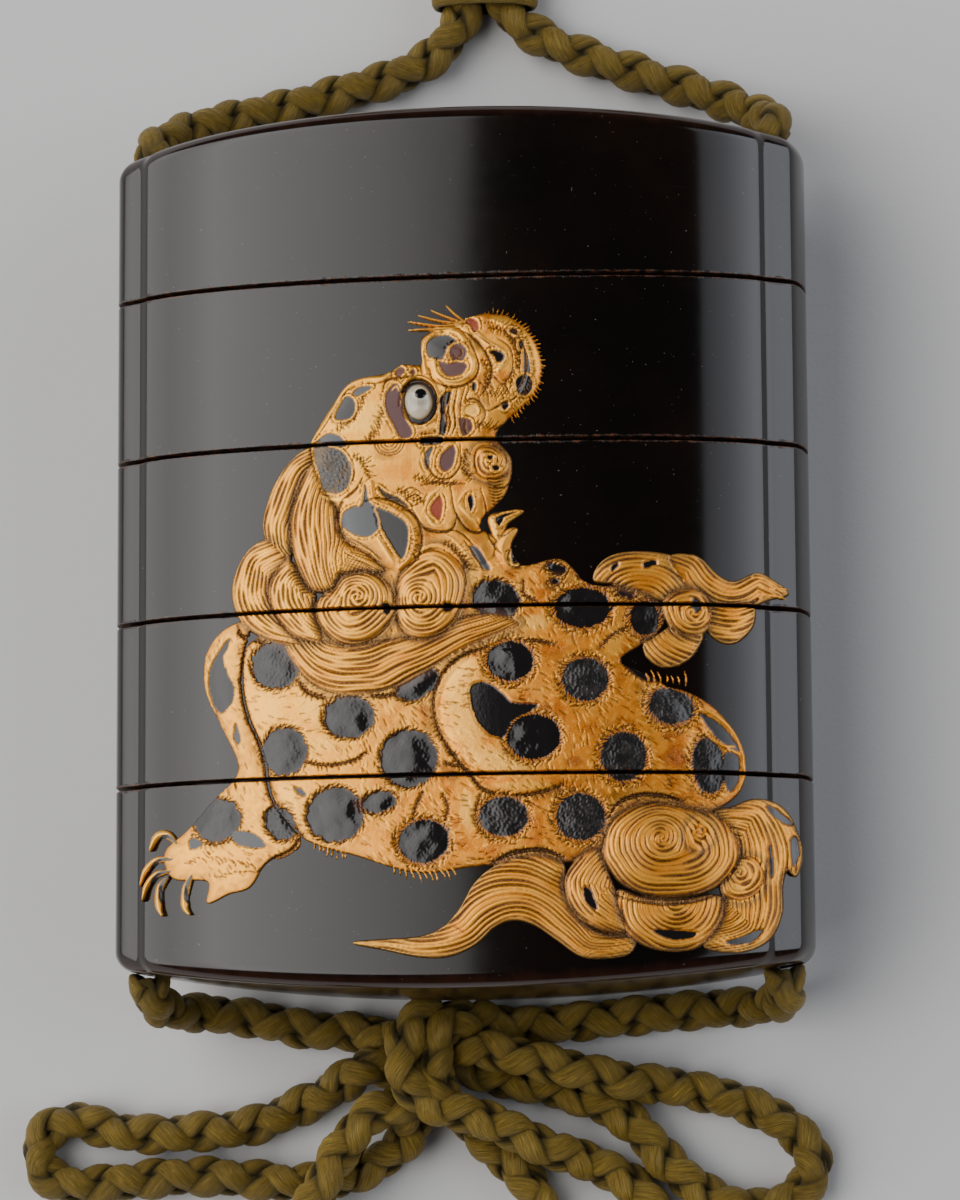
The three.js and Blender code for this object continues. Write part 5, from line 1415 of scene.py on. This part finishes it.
def drawBody(panel):
    for height, outline in lionForms:
        panel.form(height, outline)
    x, y = panel.x, panel.y
    # painted light from the left: the chest is painted paler towards the left and top, where the key light
    # falls, and the rump deeper orange towards the right; over this the coat's own clouding
    paintedLightAndClouding = smooth(-x + 0.4 * y, -16, 8) + 0.3 * smooth(mottle(x, y, 4.2, 2), 0.5, 0.85)
    panel.tint(whole, np.clip(0.75 * paintedLightAndClouding, 0, 0.85), lion["pale"])
    panel.tint(whole, 0.75 * smooth(mottle(x, y, 3.4, 11), 0.5, 0.8) * smooth(x, -16, 6), lion["orange"])
    panel.tint(whole, 0.3 * smooth(mottle(x, y, 0.9, 4), 0.55, 0.9), lion["cream"])
    for mark in lionWashes:
        panel.wash(*mark)
    # painted shade: the low edges of the forms are darkened with dusk
    edge = 1 - smooth(panel.height + 0.08 * (mottle(x, y, 1.1, 7) - 0.5), 0.18, 0.34)
    panel.tint(whole, 0.6 * edge, lion["dusk"])
    panel.tint(whole, 1 - smooth(panel.height, 0.02, 0.2), lion["grey"])
    # short hairs all over the coat
    for seed, (colour, raised) in enumerate(coatHair["kinds"]):
        for i in range(coatHair["count"]):
            px = -21 + 46 * chance(i, seed + 0.3)
            py = -28 + 26 * chance(i, seed + 0.6)
            turn = 0.5 * math.sin(px * 0.4) + 0.4 * math.cos(py * 0.5) - 0.9 + 0.5 * chance(i, 9)
            reach = 0.35 + 0.45 * chance(i, 4)
            end = (px + math.cos(turn) * reach, py + math.sin(turn) * reach)
            panel.stroke([(px, py), end], coatHair["width"], raised, colour, 0.75)


def drawContours(panel):
    for points, width, depth, colour in lionContours:
        # painted shade: a wide soft band of dusk along each cut
        panel.stroke(points, width * 3, 0, "dusk", 0.5, 0, False)
        panel.stroke(points, width * 1.2, -depth * 1.3, colour, 0.95, 0)
        hairFringe(panel, points, 0.34, 0.55, 0.9, "line", -0.06, None, 3, 0.11, 1, 0.8)
        hairFringe(panel, points, 0.4, 0.45, 0.9, "line", -0.06, None, 4, 0.1, -1, 0.7)


def drawSpots(panel):
    for number, (x, y, wide, tall, turn, fur, rough) in enumerate(lionSpots):
        outline = ellipse(x, y, wide, tall, turn)
        panel.wash(x, y, wide + 0.75, tall + 0.75, "dusk", 0.55, turn)
        for side in (0, 1):
            hairFringe(panel, outline, 0.3 + 0.07 * side, 0.9 + 0.7 * fur, 1.0 - 0.6 * side, "line", -0.06,
                       None, number + 70 * side, 0.12, -1, 0.95, True)
        panel.patch(outline, "black", 1.0, rough, 0.17, 0.09, number, 0.14)
        if fur > 0.15:
            hairFringe(panel, outline, 0.27, 0.25 + 0.7 * fur, 0.9, "gold", 0.05, None, number + 40,
                       0.085, 1, 0.65, True)
    for colour, gloss, rough, outline in lionPatches:
        panel.patch(outline, colour, gloss, rough, 0.12, 0.04, len(outline))


def drawHead(panel):
    for points, width, raised, colour in headRidges:
        panel.stroke(points, width, raised, colour, 1.0, 0, False)
    for points in headFur:
        hairFringe(panel, points, 0.26, 0.7, 0.9, "line", -0.06, None, len(points), 0.1, -1, 0.85)
        hairFringe(panel, points, 0.31, 0.5, 0.6, "line", -0.06, None, len(points) + 9, 0.1, 1, 0.7)
    panel.patch(ellipse(eye["x"], eye["y"], 1.55, 1.95, 11), "black", 0.6, 0, 0.5, 0.02, 3, 0, 0.2)
    for colour, gloss, rough, outline in headPatches:
        hairFringe(panel, outline, 0.3, 0.42, 0.8, "line", -0.05, None, len(outline), 0.09, -1, 0.8, True)
        panel.patch(outline, colour, gloss, rough, 0.1, 0.02, len(outline), 0, 0.16)
    for points, width, raised, colour in headLines:
        panel.stroke(points, width, raised, colour, 0.95, 0)
    for r in (0.42, 0.72, 1.02, 1.26):
        arc = [(-4.3 + r * math.cos(t), 8.3 + 0.85 * r * math.sin(t)) for t in np.linspace(2.9, 6.6, 11)]
        panel.stroke(arc, 0.13, -0.06, "dusk", 0.9)
    # ribbed tuft that hangs from the beard's curl
    for k in range(9):
        y = 5.0 - 0.27 * k
        half = 0.62 - 0.03 * k
        rib = [(4.6 - half, y + 0.08), (4.65, y - 0.06), (4.7 + half, y + 0.1)]
        panel.stroke(rib, 0.14, -0.08, "line", 0.95)
    for fringe in headFringes:
        hairFringe(panel, *fringe)
    for points in headSpikes:
        panel.stroke(points, 0.34, 0, "pale", 1.0, 0, True, 0.42)
        panel.stroke([(x + 0.02, y - 0.03) for x, y in points], 0.1, -0.06, "line", 0.8)


def drawClaws(panel):
    for points, width in lionClaws:
        panel.stroke(points, width, 0, "cream", 1.0, 0, True, 0.36)
        shorter = [(x * 0.75 + points[0][0] * 0.25, y * 0.75 + points[0][1] * 0.25) for x, y in points]
        panel.stroke(shorter, width * 0.42, -0.16, "slate", 1.0, 0.8)


def drawLion(panel):
    drawBody(panel)
    drawContours(panel)
    drawSpots(panel)
    for number, lock in enumerate(lionLocks):
        panel.lock(*lock, number * 3 + 1)
    for colour, gloss, rough, outline in lockSlots:
        panel.patch(outline, colour, gloss, rough, 0.2, 0.03, len(outline))
    for points, width, raised, colour in lockRidges:
        panel.stroke(points, width, raised, colour, 0.9, 0)
    drawHead(panel)
    for fringe in bellyFringes:
        hairFringe(panel, *fringe)
    for points in tuftTips:
        panel.stroke(points, 0.22, 0, "gold", 1.0, 0, True, 0.3)
    for fringe in footFringes:
        hairFringe(panel, *fringe)
    drawClaws(panel)
    # painted shade in the hollows and painted highlight on the ridges
    panel.paintShadeAndHighlight()


def goldLook():
    look = Look("raisedGold")
    paint, gloss = look.named("paint", "Color"), look.named("gloss")
    place = look.place()
    dust = look.noise(place, 9000, 2, 0.6)
    grain = look.noise(place, 2600, 3, 0.65)
    cloud = look.noise(place, 420, 4)
    gold = 1 - gloss
    colour = look.mix(gold * dust.between(0.45, 0.7) * 0.45, paint, look.mix(0.5, paint, (1.0, 0.6, 0.16)))
    colour = look.mix(gold * grain.between(0.55, 0.75) * 0.3, colour, (0.25, 0.11, 0.04))
    colour = look.mix(gold * cloud.between(0.5, 0.75) * 0.16, colour, (0.85, 0.42, 0.09))
    gilt = look.shader(Base_Color=colour, Roughness=0.33 + grain * 0.14, Metallic=0.72,
                       Specular_IOR_Level=0.2, Normal=look.bump(dust * 0.5 + grain * 0.6, 0.06 * mm, 0.6))
    bare = look.shader(Base_Color=paint, Roughness=0.1 + gold * 0.5, IOR=1.5,
                       Normal=look.bump(grain, 0.02 * mm, 0.3))
    return look.finish(look.node("MixShader", values={0: gloss.between(0.05, 0.5), 1: gilt, 2: bare}))


# the fine rows of points next to a seam, the skirt's depth, where the lowest relief ends, and how far
# each tier's relief reaches from left to right
relief = {"border": (0, 0, 0.025, 0.06, 0.11, 0.17), "inside": 0.22, "skirt": 0.9, "foot": -35.8,
          "reach": ((-12.2, 9.6), (-18.8, 29), (-21.4, 26), (-27.8, 29.5))}


def reliefGround(panel, number, top, bottom):
    # how high each point lies: the lacquer's own curve, with the relief added along it
    x, y, h, r = panel.x, panel.y, panel.height, inro["seamRound"]
    quarter = section[: len(section) // 4 + 1]
    ground = np.interp(np.abs(x), quarter[:, 0], quarter[:, 1])
    swollen = lensHeight(x, inro["halfWidth"] + h, inro["halfDepth"] + h)
    z = ground + swollen - lensHeight(x) + midZ
    edges = [(top, -1)] if number == len(seams) else [(bottom, 1), (top, -1)]
    for edge, sign in edges:  # rounded and worn at the seams
        d = np.clip((y - edge) * sign, 0, r)
        z -= (r - np.sqrt(r * r - (r - d) ** 2)) * 0.8
        worn = (1 - smooth(d, 0.0, 0.14)) * smooth(mottle(x, y, 1.3, 5), 0.4, 0.75)
        panel.tint(whole, 0.6 * worn, lion["line"])
    for end in (0, -1):  # a skirt that turns in at the top and at the bottom
        z[end] -= relief["skirt"]
    return z


def reliefPanel(number, fromX, toX, look):
    node, cell, inside = tiers[number], lion["cell"], relief["inside"]
    top = seams[number - 1] - inro["seam"] / 2
    bottom = seams[number] + inro["seam"] / 2 if number < len(seams) else relief["foot"]
    border = np.array(relief["border"])
    middle = np.linspace(bottom + inside, top - inside, int((top - bottom - 2 * inside) / cell))
    rows = np.concatenate([bottom + border, middle, top - border[::-1]])
    columns = np.linspace(fromX, toX, int((toX - fromX) / cell))
    panel = Panel(columns, rows)
    drawLion(panel)
    z = reliefGround(panel, number, top, bottom)

    wide, tall = len(columns) - 1, len(rows) - 1
    shape = bmesh.new()
    bmesh.ops.create_grid(shape, x_segments=wide, y_segments=tall, size=1)
    mesh = meshOf(shape, node)
    flat = np.empty(len(mesh.vertices) * 3)
    mesh.vertices.foreach_get("co", flat)
    column = np.rint((flat[0::3] + 1) / 2 * wide).astype(int)
    row = np.rint((flat[1::3] + 1) / 2 * tall).astype(int)
    places = np.stack([panel.x, panel.y, z], axis=-1)[row, column] * mm
    mesh.vertices.foreach_set("co", places.ravel())
    opaque = np.ones((*panel.x.shape, 1))
    paint = np.concatenate([panel.paint, opaque], axis=2)[row, column]
    pointValues(mesh, "paint", "FLOAT_COLOR", np.clip(paint, 0, 1))
    pointValues(mesh, "gloss", "FLOAT", np.clip(panel.gloss, 0, 1)[row, column])

    # what lies under the lacquer is cut away
    shape = bmesh.new()
    shape.from_mesh(mesh)
    shown = (panel.height > lion["shown"])[row, column].tolist()
    sunk = [face for face in shape.faces if not any(shown[vert.index] for vert in face.verts)]
    bmesh.ops.delete(shape, geom=sunk, context="FACES")
    shape.to_mesh(mesh)
    shape.free()
    mesh.shade_smooth()
    assign(addPiece("lion" + node.title().replace("_", ""), mesh, look), "lacquer")
    print("relief", node, len(mesh.polygons) * 2, "triangles")


eye = {
    "x": -1.85, "y": 11.75, "wide": 1.33, "tall": 1.68, "tilt": 0.2, "from": -0.5, "proud": 1.05,
    "pupil": {"x": -1.62, "y": 12.35, "wide": 0.5, "tall": 0.46}, "lowerY": 11.2,
    "pearl": (0.50, 0.47, 0.38), "cloudy": (0.24, 0.23, 0.17), "warm": (0.60, 0.52, 0.38),
    "iris": (0.12, 0.10, 0.07), "rim": (0.05, 0.035, 0.02), "black": (0.004, 0.004, 0.004),
}


def eyeLook():
    look = Look("eyeShell")
    place = look.place()
    x, y, _ = look.axes(place)

    def reachFrom(oval):
        # distance from an oval's middle, 1 at its edge
        dx = (x - oval["x"] * mm) / (oval["wide"] * mm)
        dy = (y - oval["y"] * mm) / (oval["tall"] * mm)
        return (dx * dx + dy * dy).root()

    pupil, rim = reachFrom(eye["pupil"]), reachFrom(eye)
    cloud = look.noise(place, 900, 4)
    pearl = look.mix(cloud.between(0.35, 0.7), eye["cloudy"], eye["pearl"])
    lower = (y - eye["lowerY"] * mm).between(-1.2 * mm, 0.6 * mm)
    pearl = look.mix(lower * 0.5, eye["warm"], pearl)
    ring = pupil.between(1.1, 1.5) * (1 - pupil.between(1.9, 2.6))
    colour = look.mix(ring * 0.35, pearl, eye["iris"])
    colour = look.mix(rim.between(0.78, 0.98), colour, eye["rim"])
    colour = look.mix(1 - pupil.between(0.85, 1.1), colour, eye["black"])
    return look.surface(Base_Color=colour, Roughness=0.14, Coat_Weight=0.6,
                        Normal=look.bump(cloud, 0.04 * mm, 0.4))


def addEye():
    shape = bmesh.new()
    bmesh.ops.create_uvsphere(shape, u_segments=48, v_segments=24, radius=1)
    height = float(lensHeight(eye["x"])) + midZ
    c, s = math.cos(eye["tilt"]), math.sin(eye["tilt"])
    for vert in shape.verts:
        x, y, z = vert.co.x * eye["wide"], vert.co.y * eye["tall"], vert.co.z
        z = eye["from"] + ((eye["proud"] - eye["from"]) * z ** 0.8 if z > 0 else z * 0.3)
        vert.co = ((eye["x"] + x * c - y * s) * mm, (eye["y"] + x * s + y * c) * mm, (height + z) * mm)
    bmesh.ops.recalc_face_normals(shape, faces=shape.faces)
    mesh = meshOf(shape, "eye")
    mesh.shade_smooth()
    assign(addPiece("eyeInlay", mesh, eyeLook()), "shell", "eye_inlay")


def addLion():
    gold = goldLook()
    for number, (fromX, toX) in enumerate(relief["reach"], 1):
        reliefPanel(number, fromX, toX, gold)
    addEye()


addLion()
print("lion")
